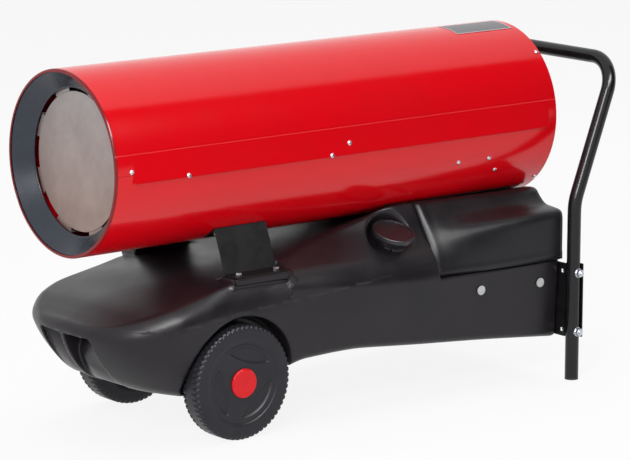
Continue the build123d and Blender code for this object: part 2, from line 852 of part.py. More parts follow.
# ---------------------------------------------------------------- fuel pump and valve
with BuildPart() as fuel_pump:
    with BuildSketch(tube_plane(pump_start)):
        Circle(pump_radius)
    extrude(amount=pump_length)
    fillet(fuel_pump.faces().sort_by(Axis.X)[0].edges(), 3)
    for setback in hose_setbacks:
        rod(at(setback, 0, axis_height, (0, 1, 0)), pump_port_radius, pump_port_reach)
    with BuildSketch(tube_plane(pump_end)):
        Circle(pump_radius)
        Circle(pump_radius - adaptor_wall, mode=Mode.SUBTRACT)
        with PolarLocations(pump_radius, 3):
            Rectangle(pump_radius, pump_radius * 0.7, mode=Mode.SUBTRACT)
    extrude(amount=adaptor_length - fit_clearance)
    rod(at(coupling_start, 0, axis_height, FORWARD), tongue_radius + fit_clearance, 18,
        Mode.SUBTRACT)
save(fuel_pump, "fuel_pump")

valve_setback = pump_start + pump_length / 2
valve_seat = pump_radius - 2
with BuildPart() as solenoid_valve:
    rod(at(valve_setback, 0, axis_height + valve_seat, (0, 0, 1)), valve_radius, valve_height)
    with BuildSketch(tube_plane(valve_setback - valve_radius)):
        Circle(pump_radius + fit_clearance)
    extrude(amount=2 * valve_radius, mode=Mode.SUBTRACT)
    fillet(solenoid_valve.faces().sort_by(Axis.Z)[-1].edges(), 2)
save(solenoid_valve, "solenoid_valve")

# ---------------------------------------------------------------- fuel tank
nose_length = 136           # from the tip back to the full width
nose_fullness = 2.5
# Lines along the tank. Each station: setback, side pulled in at the shoulder, bottom half
# width and height, shoulder height, deck edge across and up, ridge across and up, middle
# height, shoulder rounding.
tank_stations = (
    (-nose_overhang, -58, 44, 196, 222, 46, 231, 30, 234, 235, 7),
    (0, 0, 62, 172, 228, 72, 238, 48, 241, 242, 10),
    (12, 0, 84, 148, 231, 98, 242, 62, 246, 247, 14),
    (30, 0, 106, 124, 232, 122, 245, 78, 250, 252, 18),
    (60, 0, 128, 104, 233, 144, 250, 88, 256, 258, 22),
    (110, 0, 144, 89, 240, 156, 257, 92, 264, 266, 26),
    (180, 5, 152, 79, 248, 158, 265, 95, 273, 274, 26),
    (245, 9, 154, 79, 252, 158, 271, 97, 278, 279, 26),
    (295, 9, 157, 79, 253, 158, 272, 98, 281, 282, 26),
    (335, 7, 160, 104, 254, 158, 273, 99, 285, 285, 26),
    (400, 4, 166, 121, 255, 156, 275, 101, 299, 296, 30),
    (490, 1, 172, 118, 254, 152, 277, 102, 318, 305, 32),
    (575, 0, 176, 112, 252, 148, 279, 103, 338, 313, 34),
    (640, 0, 178, 106, 250, 146, 280, 104, 352, 319, 34),
    (800, 0, 180, 92, 248, 146, 280, 104, 353, 320, 34),
    (tank_end, 0, 181, 74, 248, 146, 280, 104, 353, 320, 34),
)
nose_ribs = (-nose_overhang, -4, 0, 6, 14, 25, 40, 60, 85, 110)
tank_rib_step = 43
bottom_round = 14
deck_round = 12
ridge_round = 9


def nose_width(setback):
    """Half width of the deck's outline: a rounded bow, then the full width."""
    along = min(1, max(0, (setback + nose_overhang) / nose_length))
    return tank_half_width * (1 - (1 - along) ** nose_fullness) ** (1 / nose_fullness)


def tank_line(column, setback):
    """Value of one line along the tank: cubic between stations, without overshoot."""
    places = [station[0] for station in tank_stations]
    values = [station[column] for station in tank_stations]
    slopes = [(v1 - v0) / (p1 - p0)
              for p0, p1, v0, v1 in zip(places, places[1:], values, values[1:])]
    inner = [0 if a * b <= 0 else 2 * a * b / (a + b) for a, b in zip(slopes, slopes[1:])]
    tangents = [slopes[0], *inner, slopes[-1]]
    i = max(k for k in range(len(places) - 1) if places[k] <= setback)
    step = places[i + 1] - places[i]
    t = (setback - places[i]) / step
    return ((1 + 2 * t) * (1 - t) ** 2 * values[i] + t * (1 - t) ** 2 * step * tangents[i]
            + t * t * (3 - 2 * t) * values[i + 1] + t * t * (t - 1) * step * tangents[i + 1])


def tank_section(setback, inset):
    """Rounded outline across the tank, pulled in by the inset."""
    (pulled, bottom, floor, shoulder, deck_across, deck_up, ridge_across, ridge_up, middle,
     shoulder_round) = [tank_line(column, setback) for column in range(1, 11)]
    wide = nose_width(setback) - pulled
    corners = [(bottom - inset, floor + inset), (wide - inset, shoulder - 0.4 * inset),
               (deck_across - inset / 2, deck_up - inset),
               (ridge_across - 0.8 * inset, ridge_up - inset)]
    rounds = (bottom_round, shoulder_round, deck_round, ridge_round)
    with BuildSketch(cross_plane(setback)) as outline:
        with BuildLine():
            mirrored = [(-across, up) for across, up in reversed(corners)]
            Polyline(*mirrored, *corners)
            ThreePointArc(corners[-1], (0, middle - inset), mirrored[0])
        make_face()
        for (across, up), rounding in zip(corners, rounds):
            pair = [v for v in outline.vertices()
                    if abs(abs(v.X) - across) < 1e-3 and abs(v.Y - up) < 1e-3]
            fillet(pair, max(1, rounding - inset))
    return outline.sketch.faces()[0]


def tank_form(start, end, inset, mode=Mode.ADD):
    """Loft of the tank's outlines between two setbacks, pulled in by the inset."""
    body_steps = round((end - nose_ribs[-1]) / tank_rib_step)
    body_ribs = [nose_ribs[-1] + (end - nose_ribs[-1]) * (i + 1) / body_steps
                 for i in range(body_steps)]
    ribs = [start] + [setback for setback in (*nose_ribs, *body_ribs) if setback > start]
    loft([tank_section(setback, inset) for setback in ribs], ruled=True, mode=mode)


def nose_front(grow):
    """Prism over the front of the nose, as wide as the recess under its roof edge."""
    with BuildSketch(cross_plane(-2 * nose_overhang)) as front:
        Polygon((-nose_roof[0] - grow, nose_roof[1] + grow),
                (nose_roof[0] + grow, nose_roof[1] + grow),
                (nose_foot[0] + grow, nose_foot[1]), (nose_foot[0] + grow, 0),
                (-nose_foot[0] - grow, 0), (-nose_foot[0] - grow, nose_foot[1]), align=None)
    extrude(front.sketch, amount=nose_ribs[-1])


arch_setback = wheel_setback + 5
arch_height = wheel_radius + 2
groove_width = 2 * (axle_radius + loose_clearance)
cradle_radius = tube_radius + rear_saddle_gauge + 2 * fit_clearance + cradle_clearance
recess_front = control_start - loose_clearance
tank_bottom_at_axle = tank_line(3, wheel_setback)
pad_margin = 4
neck_axis = (0, -sin(radians(neck_tilt)), cos(radians(neck_tilt)))
neck_rim = Plane(origin=(behind(neck_setback), -neck_side, neck_rim_height),
                 x_dir=(1, 0, 0), z_dir=neck_axis)
rim_inward = Plane(origin=neck_rim.origin, z_dir=-neck_rim.z_dir)
foot_bolts = [at(saddle_start + inset, side * saddle_bolt_side,
                 saddle_pad_height + saddle_gauge + 2 * fit_clearance, (0, 0, 1))
              for inset in (saddle_bolt_inset, saddle_length - saddle_bolt_inset)
              for side in SIDES]
clamp_bolt_reach = axle_clamp_length / 2 - clamp_bolt_inset
clamp_under = tank_bottom_at_axle - fit_clearance - axle_clamp_gauge
clamp_bolts = [at(wheel_setback + end * clamp_bolt_reach, side * axle_clamp_side, clamp_under,
                  (0, 0, -1)) for side in SIDES for end in (-1, 1)]
plate_bolt_heights = (leg_plate_bottom + plate_bolt_low, leg_plate_top - plate_bolt_high)
plate_bolts = [at(tank_end + fit_clearance + leg_plate_gauge, side * leg_plate_bolt_side, height,
                  REARWARD) for side in SIDES for height in plate_bolt_heights]
tank_bolt_places = foot_bolts + clamp_bolts + plate_bolts
boss_radius = bolt_radius + tank_wall + 1
boss_depth = bolt_length + tank_wall
bottom_slope = (tank_line(3, drain_setback + 10) - tank_line(3, drain_setback - 10)) / 20
drain_place = at(drain_setback, 0, tank_line(3, drain_setback), (bottom_slope, 0, -1))


def side_seat(setback, height):
    """Plane on the left side of the tank, facing out, at this height."""
    bottom, floor, shoulder = [tank_line(column, setback) for column in (2, 3, 4)]
    wide = tank_half_width - tank_line(1, setback)
    lean = (wide - bottom) / (shoulder - floor)
    return at(setback, -bottom - lean * (height - floor), height, (0, -1, -lean))


plug_seats = [side_seat(setback, height) for setback, height in plug_places]


def tank_hollows(grow):
    """Shapes that the tank's wall goes round, grown by the wall when they bound its inside."""
    rims = [Plane(origin=(behind(arch_setback), side * (arch_inner - grow), arch_height),
                  z_dir=(0, side, 0)) for side in SIDES]
    for rim in rims:
        rod(rim, arch_radius + grow, tank_half_width)
    with Locations((behind(wheel_setback), 0, 0)):
        Box(groove_width + 2 * grow, 2 * tank_half_width, wheel_radius, align=MIN_Z)
    with Locations(Location((behind(wheel_setback), 0, wheel_radius), (90, 0, 0))):
        Cylinder(groove_width / 2 + grow, 2 * tank_half_width)
    with BuildSketch(tube_plane(-tube_length)) as cradle:
        Circle(cradle_radius + grow)
    extrude(cradle.sketch, amount=3 * tube_length)
    with Locations((behind(recess_front) - grow, -control_inner + grow, control_floor - grow)):
        Box(tube_length, tube_length, tube_length,
            align=(Align.MIN, Align.MAX, Align.MIN))
    rod(neck_rim.offset(-cap_pocket_depth - grow), cap_pocket_radius + grow, tube_radius)


with BuildPart() as outside_hollows:
    tank_hollows(0)
with BuildPart() as inside_hollows:
    tank_hollows(tank_wall)
    for place in tank_bolt_places:
        rod(Plane(origin=place.origin, z_dir=-place.z_dir), boss_radius, boss_depth)
with BuildPart() as nose_recess:
    nose_front(0)
    tank_form(-nose_overhang + nose_recess_depth, tank_end, nose_recess_depth, Mode.SUBTRACT)
    with Locations((behind(0), 0, 0)):
        Box(tube_length, nose_rib_width, tube_length, align=MIN_Z, mode=Mode.SUBTRACT)
with BuildPart() as nose_backing:
    nose_front(tank_wall)
    tank_form(-nose_overhang + nose_recess_depth + tank_wall, tank_end,
              nose_recess_depth + tank_wall, Mode.SUBTRACT)
with BuildPart() as tank_cavity:
    tank_form(-nose_overhang + tank_wall, tank_end - tank_wall, tank_wall)
    add(inside_hollows.part, mode=Mode.SUBTRACT)
    add(nose_backing.part, mode=Mode.SUBTRACT)

with BuildPart() as fuel_tank:
    tank_form(-nose_overhang, tank_end, 0)
    add(outside_hollows.part, mode=Mode.SUBTRACT)
    add(nose_recess.part, mode=Mode.SUBTRACT)
    for side in SIDES:
        with Locations((behind(saddle_start - pad_margin),
                        side * (saddle_foot_inner + saddle_foot_outer) / 2, saddle_pad_height)):
            Box(saddle_length + 2 * pad_margin,
                saddle_foot_outer - saddle_foot_inner + pad_margin, 3 * pad_margin,
                align=(Align.MIN, Align.CENTER, Align.MAX))
            Box(saddle_length + 2 * pad_margin,
                saddle_foot_outer - saddle_foot_inner + 2 * pad_margin, 3 * pad_margin,
                align=(Align.MIN, Align.CENTER, Align.MIN), mode=Mode.SUBTRACT)
    for setback in hose_setbacks:
        with Locations((behind(setback), fitting_side, fitting_pad_height)):
            Cylinder(fitting_pad_size / 2, fitting_pad_size, align=MAX_Z)
    add(tank_cavity.part, mode=Mode.SUBTRACT)
    rod(rim_inward, neck_radius, neck_length)
    rod(rim_inward, neck_bore, neck_step_depth, Mode.SUBTRACT)
    rod(rim_inward, neck_step_bore, 1.5 * neck_length, Mode.SUBTRACT)
    for place in tank_bolt_places:
        bore(place, bolt_radius + screw_clearance, bolt_length + 1)
    for place in plug_seats:
        bore(place, plug_stem_radius + fit_clearance, plug_stem_length + fit_clearance)
    for setback in hose_setbacks:
        bore(at(setback, fitting_side, fitting_pad_height, (0, 0, 1)),
             hose_radius + fit_clearance, 40)
    bore(drain_place, drain_stem_radius + fit_clearance, plug_stem_length + fit_clearance)
save(fuel_tank, "fuel_tank")

# ---------------------------------------------------------------- filler and tank fittings
flange_place = rim_inward.offset(neck_step_depth - strainer_flange - fit_clearance)
strainer_radius = neck_step_bore - loose_clearance
with BuildPart() as filler_strainer:
    rod(flange_place, neck_bore - loose_clearance, strainer_flange)
    rod(flange_place, strainer_radius, strainer_length)
    rod(flange_place.offset(-1), strainer_radius - strainer_wall,
        strainer_length + 1 - strainer_wall, Mode.SUBTRACT)
    for row in range(strainer_rows):
        with Locations(flange_place.offset(10 + strainer_row_step * row)):
            with PolarLocations(strainer_radius, strainer_slots):
                Box(6 * strainer_wall, 5, 6, mode=Mode.SUBTRACT)
save(filler_strainer, "filler_strainer")

with BuildPart() as cap_gasket:
    rod(neck_rim.offset(fit_clearance), neck_radius - fit_clearance, gasket_thickness)
    rod(neck_rim, neck_bore, 2 * gasket_thickness, Mode.SUBTRACT)
save(cap_gasket, "cap_gasket")

cap_under = neck_rim.offset(gasket_thickness + 2 * fit_clearance)
cap_inward = Plane(origin=cap_under.origin, z_dir=-cap_under.z_dir)
cap_top = cap_under.offset(cap_thickness - cap_recess)
cap_plug_radius = neck_bore - loose_clearance
cap_plug_length = gasket_thickness + neck_step_depth - strainer_flange - 1
with BuildPart() as fuel_cap:
    rod(cap_under, cap_radius, cap_thickness)
    fillet(fuel_cap.edges().filter_by(GeomType.CIRCLE), cap_round)
    rod(cap_top, cap_radius - cap_rim, cap_recess, Mode.SUBTRACT)
    with Locations(cap_under.offset(cap_thickness / 2)):
        with PolarLocations(cap_radius - cap_tab / 4, cap_tabs):
            Box(cap_tab / 2, cap_tab, cap_thickness)
    with Locations(cap_inward):
        Cone(cap_skirt_radius + cap_skirt_flare, cap_skirt_radius, cap_skirt_depth, align=MIN_Z)
    rod(cap_inward, neck_radius + loose_clearance, cap_skirt_depth, Mode.SUBTRACT)
    rod(cap_inward, cap_plug_radius, cap_plug_length)
    rod(cap_inward, cap_plug_radius - cap_wall, cap_plug_length, Mode.SUBTRACT)
save(fuel_cap, "fuel_cap")

spigot_length = 12
dip_height = tank_line(3, hose_setbacks[0]) + 4 * tank_wall
with BuildPart() as tank_pipes:
    for setback, end in zip(hose_setbacks, (dip_height, fitting_pad_height - 40)):
        seat = at(setback, fitting_side, fitting_pad_height + fit_clearance, (0, 0, 1))
        with BuildSketch(seat) as flats:
            RegularPolygon(2 * hose_radius, 6)
        extrude(flats.sketch, amount=spigot_length / 2)
        rod(seat, hose_radius, spigot_length)
        rod(at(setback, fitting_side, end, (0, 0, 1)), hose_radius - fit_clearance,
            fitting_pad_height + 1 - end)
    rod(at(hose_setbacks[0], fitting_side, dip_height, (0, 0, 1)), 2 * hose_radius, 18)
save(tank_pipes, "tank_pipes")

hole_turn = radians(hose_hole_angle)
out_across, out_up = -cos(hole_turn), sin(hole_turn)
hole_across, hole_up = tube_radius * out_across, axis_height + tube_radius * out_up
outer_run = (fitting_side - hole_across) / out_across
inner_run = 42
hose_top = fitting_pad_height + spigot_length + 2 * fit_clearance
with BuildPart() as fuel_hoses:
    for setback, label in zip(hose_setbacks, ("supply hose", "return hose")):
        hose_points = [(behind(setback), across, up) for across, up in (
            (fitting_side, hose_top),
            (fitting_side, hole_up + outer_run * out_up),
            (hole_across - inner_run * out_across, hole_up - inner_run * out_up),
            (92, 455), (pump_port_reach + 38, axis_height),
            (pump_port_reach + fit_clearance, axis_height))]
        flexible(hose_points, hose_radius, label)
save(fuel_hoses, "fuel_hoses")

with BuildPart() as tank_plugs:
    for place in plug_seats:
        seat = place.offset(fit_clearance)
        rod(seat, plug_radius, plug_head)
        rod(Plane(origin=seat.origin, z_dir=-seat.z_dir), plug_stem_radius, plug_stem_length)
    seat = drain_place.offset(fit_clearance)
    rod(seat, drain_radius, drain_head)
    rod(Plane(origin=seat.origin, z_dir=-seat.z_dir), drain_stem_radius, plug_stem_length)
save(tank_plugs, "tank_plugs")

# ---------------------------------------------------------------- saddle brackets


def bent_sheet(points, gauge):
    """Outline of a bent sheet: one face runs through the points, the other lies right of them."""
    corners = [Vector(*point) for point in points]
    runs = [(end - start).normalized() for start, end in zip(corners, corners[1:])]
    rights = [Vector(run.Y, -run.X) for run in runs]
    shifts = [rights[0],
              *[(a + b) / (1 + a.dot(b)) for a, b in zip(rights, rights[1:])],
              rights[-1]]
    other_face = [corner + shift * gauge for corner, shift in zip(corners, shifts)]
    Polygon(*corners, *reversed(other_face), align=None)


saddle_inner = tube_radius + fit_clearance
saddle_outer = saddle_inner + saddle_gauge
web_turn = radians(saddle_top_angles[1])
web_top = (saddle_inner * cos(web_turn), axis_height + saddle_inner * sin(web_turn))
foot_level = saddle_pad_height + fit_clearance
with BuildPart() as saddle_bracket_right:
    with BuildSketch(tube_plane(saddle_start)) as cheek:
        ring_sector(saddle_inner, saddle_outer, 180 - saddle_top_angles[1],
                    180 - saddle_top_angles[0])
    extrude(cheek.sketch, amount=saddle_length)
    with BuildSketch(cross_plane(saddle_start)) as web:
        bent_sheet([(saddle_foot_outer, foot_level), (saddle_foot_inner, foot_level), web_top],
                   saddle_gauge)
        with Locations((0, axis_height)):
            Circle(saddle_inner, mode=Mode.SUBTRACT)
    extrude(web.sketch, amount=saddle_length)
    for place in saddle_top_bolts + foot_bolts:
        bore(place, bolt_radius + screw_clearance, bolt_length)
save(saddle_bracket_right, "saddle_bracket_right")

with BuildPart() as saddle_bracket_left:
    mirror(saddle_bracket_right.part, about=Plane.XZ)
save(saddle_bracket_left, "saddle_bracket_left")

with BuildPart() as rear_saddle:
    with BuildSketch(tube_plane(rear_saddle_start)):
        ring_sector(saddle_inner, saddle_inner + rear_saddle_gauge,
                    -90 - rear_saddle_angle, -90 + rear_saddle_angle)
    extrude(amount=rear_saddle_length)
save(rear_saddle, "rear_saddle")

with BuildPart() as bracket_bolts:
    for place in saddle_top_bolts + tank_bolt_places:
        hexagon_bolt(place, bolt_head_radius, bolt_head_height, bolt_radius, bolt_length)
save(bracket_bolts, "bracket_bolts")

# ---------------------------------------------------------------- wheels and axle
wheel_inner_face = wheel_outer_face - wheel_width
hub_outer = wheel_outer_face - wheel_pocket_depth
hub_inner = wheel_inner_face - wheel_hub_overhang
hub_bore = axle_radius + running_clearance
axle_end = hub_outer + axle_overhang
axle_line = Axis((behind(wheel_setback), 0, wheel_radius), (0, 1, 0))


def axle_plane(across, side):
    """Plane square to the axle at this distance across, facing outwards on that side."""
    return Plane(origin=(behind(wheel_setback), side * across, wheel_radius),
                 x_dir=(1, 0, 0), z_dir=(0, side, 0))


with BuildPart() as axle:
    rod(axle_plane(-axle_end, RIGHT), axle_radius, 2 * axle_end)
save(axle, "axle")

with BuildPart() as axle_washers:
    for side in SIDES:
        for reach in (hub_inner - washer_gauge - loose_clearance, hub_outer + loose_clearance):
            rod(axle_plane(reach, side), washer_radius, washer_gauge)
            rod(axle_plane(reach, side), hub_bore, washer_gauge, Mode.SUBTRACT)
save(axle_washers, "axle_washers")

clamp_top = wheel_radius - axle_radius - fit_clearance
with BuildPart() as axle_clamps:
    for side in SIDES:
        with Locations((behind(wheel_setback), side * axle_clamp_side, clamp_under)):
            Box(axle_clamp_length, axle_clamp_width, axle_clamp_gauge, align=MIN_Z)
            Box(groove_width - 2 * loose_clearance, axle_clamp_width, clamp_top - clamp_under,
                align=MIN_Z)
    for place in clamp_bolts:
        bore(place, bolt_radius + screw_clearance, bolt_length)
save(axle_clamps, "axle_clamps")

wheel_face = wheel_outer_face - 1       # face inside the tyre
with BuildPart() as wheel_right:
    with BuildSketch(Plane(origin=axle_line.position, x_dir=(1, 0, 0), z_dir=(0, 0, 1))) as cut:
        with BuildLine():
            Polyline((hub_bore, hub_inner), (wheel_hub_radius, hub_inner),
                     (wheel_hub_radius + 4, wheel_inner_face + wheel_hub_overhang),
                     (wheel_groove_radius, wheel_inner_face + wheel_hub_overhang),
                     (wheel_groove_radius + wheel_groove_width, wheel_inner_face),
                     (wheel_radius, wheel_inner_face), (wheel_radius, wheel_outer_face),
                     (wheel_groove_radius + wheel_groove_width, wheel_outer_face),
                     (wheel_groove_radius + wheel_groove_width - 1.5, wheel_face - 1.5),
                     (wheel_groove_radius + 1.5, wheel_face - 1.5),
                     (wheel_groove_radius, wheel_face), (wheel_pocket_radius, wheel_face),
                     (wheel_pocket_radius, hub_outer), (hub_bore, hub_outer), close=True)
        make_face()
        fillet(cut.vertices().filter_by(lambda v: v.X > wheel_radius - 1), tyre_round)
    revolve(cut.sketch, axis=axle_line)
    with BuildSketch(axle_plane(wheel_face, RIGHT)) as lenses:
        for turn in lens_turns:
            with Locations(Rotation(0, 0, turn)):
                with Locations((lens_centre, 0)):
                    Circle(lens_centre - lens_near)
        Circle(lens_far, mode=Mode.INTERSECT)
    extrude(lenses.sketch, amount=-lens_depth, mode=Mode.SUBTRACT)
    lug_width = 2 * pi * wheel_radius / wheel_lugs * lug_gap_share
    row_width = wheel_width * lug_row_share
    for row_start, shift in ((wheel_outer_face - row_width, 0), (wheel_inner_face, 0.5)):
        with Locations(axle_plane(row_start + row_width / 2, RIGHT)):
            with PolarLocations(wheel_radius, wheel_lugs, start_angle=shift * 360 / wheel_lugs):
                Box(2 * lug_depth, lug_width, row_width, mode=Mode.SUBTRACT)
save(wheel_right, "wheel_right")

with BuildPart() as wheel_left:
    mirror(wheel_right.part, about=Plane.XZ)
save(wheel_left, "wheel_left")

cap_face = axle_plane(wheel_face + fit_clearance, RIGHT)
cap_ring = cap_face.offset(-hub_cap_skirt)
with BuildPart() as hub_cap_right:
    rod(cap_face, hub_cap_radius, hub_cap_height)
    fillet(hub_cap_right.faces().sort_by(Axis.Y)[-1].edges(), hub_cap_height * 0.6)
    rod(cap_ring, wheel_pocket_radius - fit_clearance, hub_cap_skirt + 0.5)
    rod(cap_ring, wheel_pocket_radius - fit_clearance - hub_cap_wall, hub_cap_skirt + 1,
        Mode.SUBTRACT)
save(hub_cap_right, "hub_cap_right")

with BuildPart() as hub_cap_left:
    mirror(hub_cap_right.part, about=Plane.XZ)
save(hub_cap_left, "hub_cap_left")

# ---------------------------------------------------------------- handle and legs
leg_x = behind(leg_setback)
crossbar_x = behind(handle_setback)
leg_bolt_places = [at(leg_setback, side * (leg_spread + handle_radius + fit_clearance), height,
                      (0, side, 0)) for side in SIDES for height in leg_bolt_heights]
bolt_hole = leg_bolt_radius + screw_clearance
with BuildPart() as handle_frame:
    with BuildLine() as run:
        FilletPolyline((leg_x, -leg_spread, foot_height), (leg_x, -leg_spread, lean_start),
                       (crossbar_x, -leg_spread, handle_height),
                       (crossbar_x, leg_spread, handle_height),
                       (leg_x, leg_spread, lean_start), (leg_x, leg_spread, foot_height),
                       radius=[lean_bend, handle_corner, handle_corner, lean_bend])
    with BuildSketch(Plane(origin=run.line @ 0, z_dir=run.line % 0)) as tube_section:
        Circle(handle_radius)
        Circle(handle_radius - handle_wall, mode=Mode.SUBTRACT)
    sweep(tube_section.sketch, path=run.line)
    for place in leg_bolt_places:
        bore(place, bolt_hole, 3 * handle_radius)
save(handle_frame, "handle_frame")

with BuildPart() as leg_feet:
    for side in SIDES:
        ground = at(leg_setback, side * leg_spread, 0, (0, 0, 1))
        rod(ground, handle_radius, foot_height - fit_clearance)
        rod(ground, handle_radius - handle_wall - fit_clearance, foot_plug_length)
save(leg_feet, "leg_feet")

strip_back = leg_setback + handle_radius + fit_clearance
flange_outer = leg_spread - handle_radius - fit_clearance
plate_near = tank_end + fit_clearance
with BuildPart() as leg_plates:
    with BuildSketch(Plane(origin=(behind(0), 0, leg_plate_bottom))):
        bent_sheet([(plate_near, leg_plate_inner), (plate_near, flange_outer),
                    (strip_back, flange_outer), (strip_back, leg_plate_outer)], leg_plate_gauge)
    extrude(amount=leg_plate_top - leg_plate_bottom)
    for height in leg_bolt_heights:
        spot = at(leg_setback, flange_outer, height, (0, 1, 0))
        bore(spot, bolt_hole, 2 * leg_plate_gauge)
        rod(Plane(origin=spot.origin, z_dir=-spot.z_dir).offset(leg_plate_gauge),
            leg_bolt_head_radius + 1, 2 * leg_bolt_head_height, Mode.SUBTRACT)
    for place in plate_bolts:
        bore(place, bolt_radius + screw_clearance, bolt_length)
    mirror(about=Plane.XZ)
save(leg_plates, "leg_plates")

grip = 2 * (handle_radius + fit_clearance) + leg_plate_gauge
bolt_tail = leg_washer_gauge + leg_nut_height + 3
with BuildPart() as leg_bolts:
    for place in leg_bolt_places:
        inner_seat = Plane(origin=place.offset(-grip - fit_clearance).origin,
                           x_dir=(1, 0, 0), z_dir=-place.z_dir)
        hexagon_bolt(inner_seat, leg_bolt_head_radius, leg_bolt_head_height, leg_bolt_radius,
                     grip + bolt_tail)
        outer_seat = Plane(origin=place.origin, x_dir=(1, 0, 0), z_dir=place.z_dir)
        with BuildSketch(outer_seat) as washer:
            Circle(leg_washer_radius)
            Circle(leg_bolt_radius + running_clearance, mode=Mode.SUBTRACT)
        extrude(washer.sketch, amount=leg_washer_gauge)
        with BuildSketch(outer_seat.offset(leg_washer_gauge + fit_clearance)) as nut:
            RegularPolygon(leg_bolt_head_radius, 6)
            Circle(leg_bolt_radius + running_clearance, mode=Mode.SUBTRACT)
        extrude(nut.sketch, amount=leg_nut_height)
save(leg_bolts, "leg_bolts")

# ---------------------------------------------------------------- rear guard, screws and plate
guard_face = tube_length - guard_inset - guard_wire_radius
band_outer = shell_inner - fit_clearance
band_inner = band_outer - shell_gauge
guard_rings = int((band_inner - guard_wire_radius) // guard_ring_step)
with BuildPart() as rear_guard:
    with BuildSketch(tube_plane(tube_length - guard_band_width)) as band:
        Circle(band_outer)
        Circle(band_inner, mode=Mode.SUBTRACT)
    extrude(band.sketch, amount=guard_band_width - guard_inset)
    for place in band_screws:
        bore(place, screw_hole, screw_length)
    with BuildSketch(side_plane) as wires:
        with Locations(*[(behind(guard_face), guard_ring_step * (i + 1))
                         for i in range(guard_rings)]):
            Circle(guard_wire_radius)
    revolve(wires.sketch, axis=tube_axis)
    for angle in guard_spoke_angles:
        with Locations(Location((behind(guard_face - guard_wire_radius), 0, axis_height),
                                (angle, 0, 0))):
            Cylinder(guard_wire_radius, band_inner + band_outer)
save(rear_guard, "rear_guard")

with BuildPart() as shell_screws:
    for place in collar_screws + mid_screws + hook_screws + band_screws + carrier_screws:
        pan_screw(place)
save(shell_screws, "shell_screws")

with BuildPart() as data_plate:
    half_angle = degrees(plate_width / tube_radius) / 2
    plate_inner = tube_radius + fit_clearance
    with BuildSketch(tube_plane(plate_setback)):
        ring_sector(plate_inner, plate_inner + plate_gauge, plate_angle - half_angle,
                    plate_angle + half_angle)
    extrude(amount=plate_length)
save(data_plate, "data_plate")

# ---------------------------------------------------------------- controls
with BuildSketch() as cover_outline:
    with BuildLine():
        FilletPolyline((-control_side, control_lip), (-control_side, control_shoulder),
                       (-control_waist, control_shoulder + control_rise),
                       (-control_crest, control_top), (-control_inner, control_edge),
                       radius=[control_shoulder_round, control_waist_round, control_crest_round])
        Polyline((-control_inner, control_edge), (-control_inner, control_lip),
                 (-control_side, control_lip))
    make_face()
cover_length = control_end - control_start


def cover_inside(clearance):
    """Space within the cover's wall, open downwards and towards the middle of the heater."""
    with BuildSketch() as inside:
        offset(cover_outline.sketch, amount=-control_wall - clearance, kind=Kind.INTERSECTION)
        with Locations((-control_side + control_wall + clearance, control_lip + 2 * control_wall)):
            Rectangle(control_side - control_inner - control_wall - 2 * clearance,
                      control_lip - control_floor + 2 * control_wall - clearance,
                      align=(Align.MIN, Align.MAX))
        with Locations((-control_inner - clearance, control_lip)):
            Rectangle(2 * control_wall, control_edge - control_lip - control_wall - clearance,
                      align=(Align.MAX, Align.MIN))
    return inside.sketch


with BuildPart() as control_cover:
    with BuildSketch(cross_plane(control_start)) as outside:
        add(cover_outline.sketch)
        with Locations((-control_side + control_wall, control_lip)):
            Rectangle(control_side - control_inner - control_wall,
                      control_lip - control_floor - loose_clearance, align=(Align.MIN, Align.MAX))
    extrude(outside.sketch, amount=control_wall)
    with BuildSketch(cross_plane(control_start)) as skin:
        add(cover_outline.sketch)
        add(cover_inside(0), mode=Mode.SUBTRACT)
    extrude(skin.sketch, amount=cover_length)
save(control_cover, "control_cover")

panel_setback = control_end - panel_inset - panel_thickness
panel_face = panel_setback + panel_thickness


def on_panel(spot, lift=0):
    """Plane on the panel's rear face at a place across and up, facing to the rear."""
    return at(panel_face + lift, spot[0], spot[1], REARWARD)


with BuildPart() as control_panel:
    with BuildSketch(cross_plane(panel_setback)) as panel:
        add(cover_inside(loose_clearance))
        for spot, radius in ((knob_spot, knob_shaft_radius), (button_spot, button_radius),
                             (lamp_spot, lamp_radius), (socket_spot, socket_body_radius),
                             (gland_spot, gland_radius - 2)):
            with Locations(spot):
                Circle(radius + loose_clearance, mode=Mode.SUBTRACT)
    extrude(panel.sketch, amount=panel_thickness)
save(control_panel, "control_panel")

with BuildPart() as switch_knob:
    rod(on_panel(knob_spot, loose_clearance), knob_radius, knob_height / 3)
    rod(on_panel(knob_spot, loose_clearance), knob_radius - 2, knob_height - 1)
    fillet(switch_knob.faces().sort_by(Axis.X)[-1].edges(), 1)
    with Locations(on_panel(knob_spot, loose_clearance + knob_height / 2)):
        Box(knob_grip_width, 2 * knob_radius - 4, knob_height / 2, align=MIN_Z)
    rod(on_panel(knob_spot, -panel_thickness - 8), knob_shaft_radius, panel_thickness + 9)
save(switch_knob, "switch_knob")

with BuildPart() as reset_button:
    rod(on_panel(button_spot, -panel_thickness), button_radius, panel_thickness + button_height)
    fillet(reset_button.faces().sort_by(Axis.X)[-1].edges(), 1)
    rod(on_panel(button_spot, -panel_thickness - loose_clearance - 2), button_radius + 2, 2)
    rod(on_panel(button_spot, -panel_thickness - 1), button_radius - 1, 2)
save(reset_button, "reset_button")

with BuildPart() as indicator_lamp:
    rod(on_panel(lamp_spot, fit_clearance), lamp_radius + 2, 2)
    rod(on_panel(lamp_spot, -panel_thickness - 10), lamp_radius,
        panel_thickness + 12 + lamp_height)
    fillet(indicator_lamp.faces().sort_by(Axis.X)[-1].edges(), lamp_height / 2)
save(indicator_lamp, "indicator_lamp")

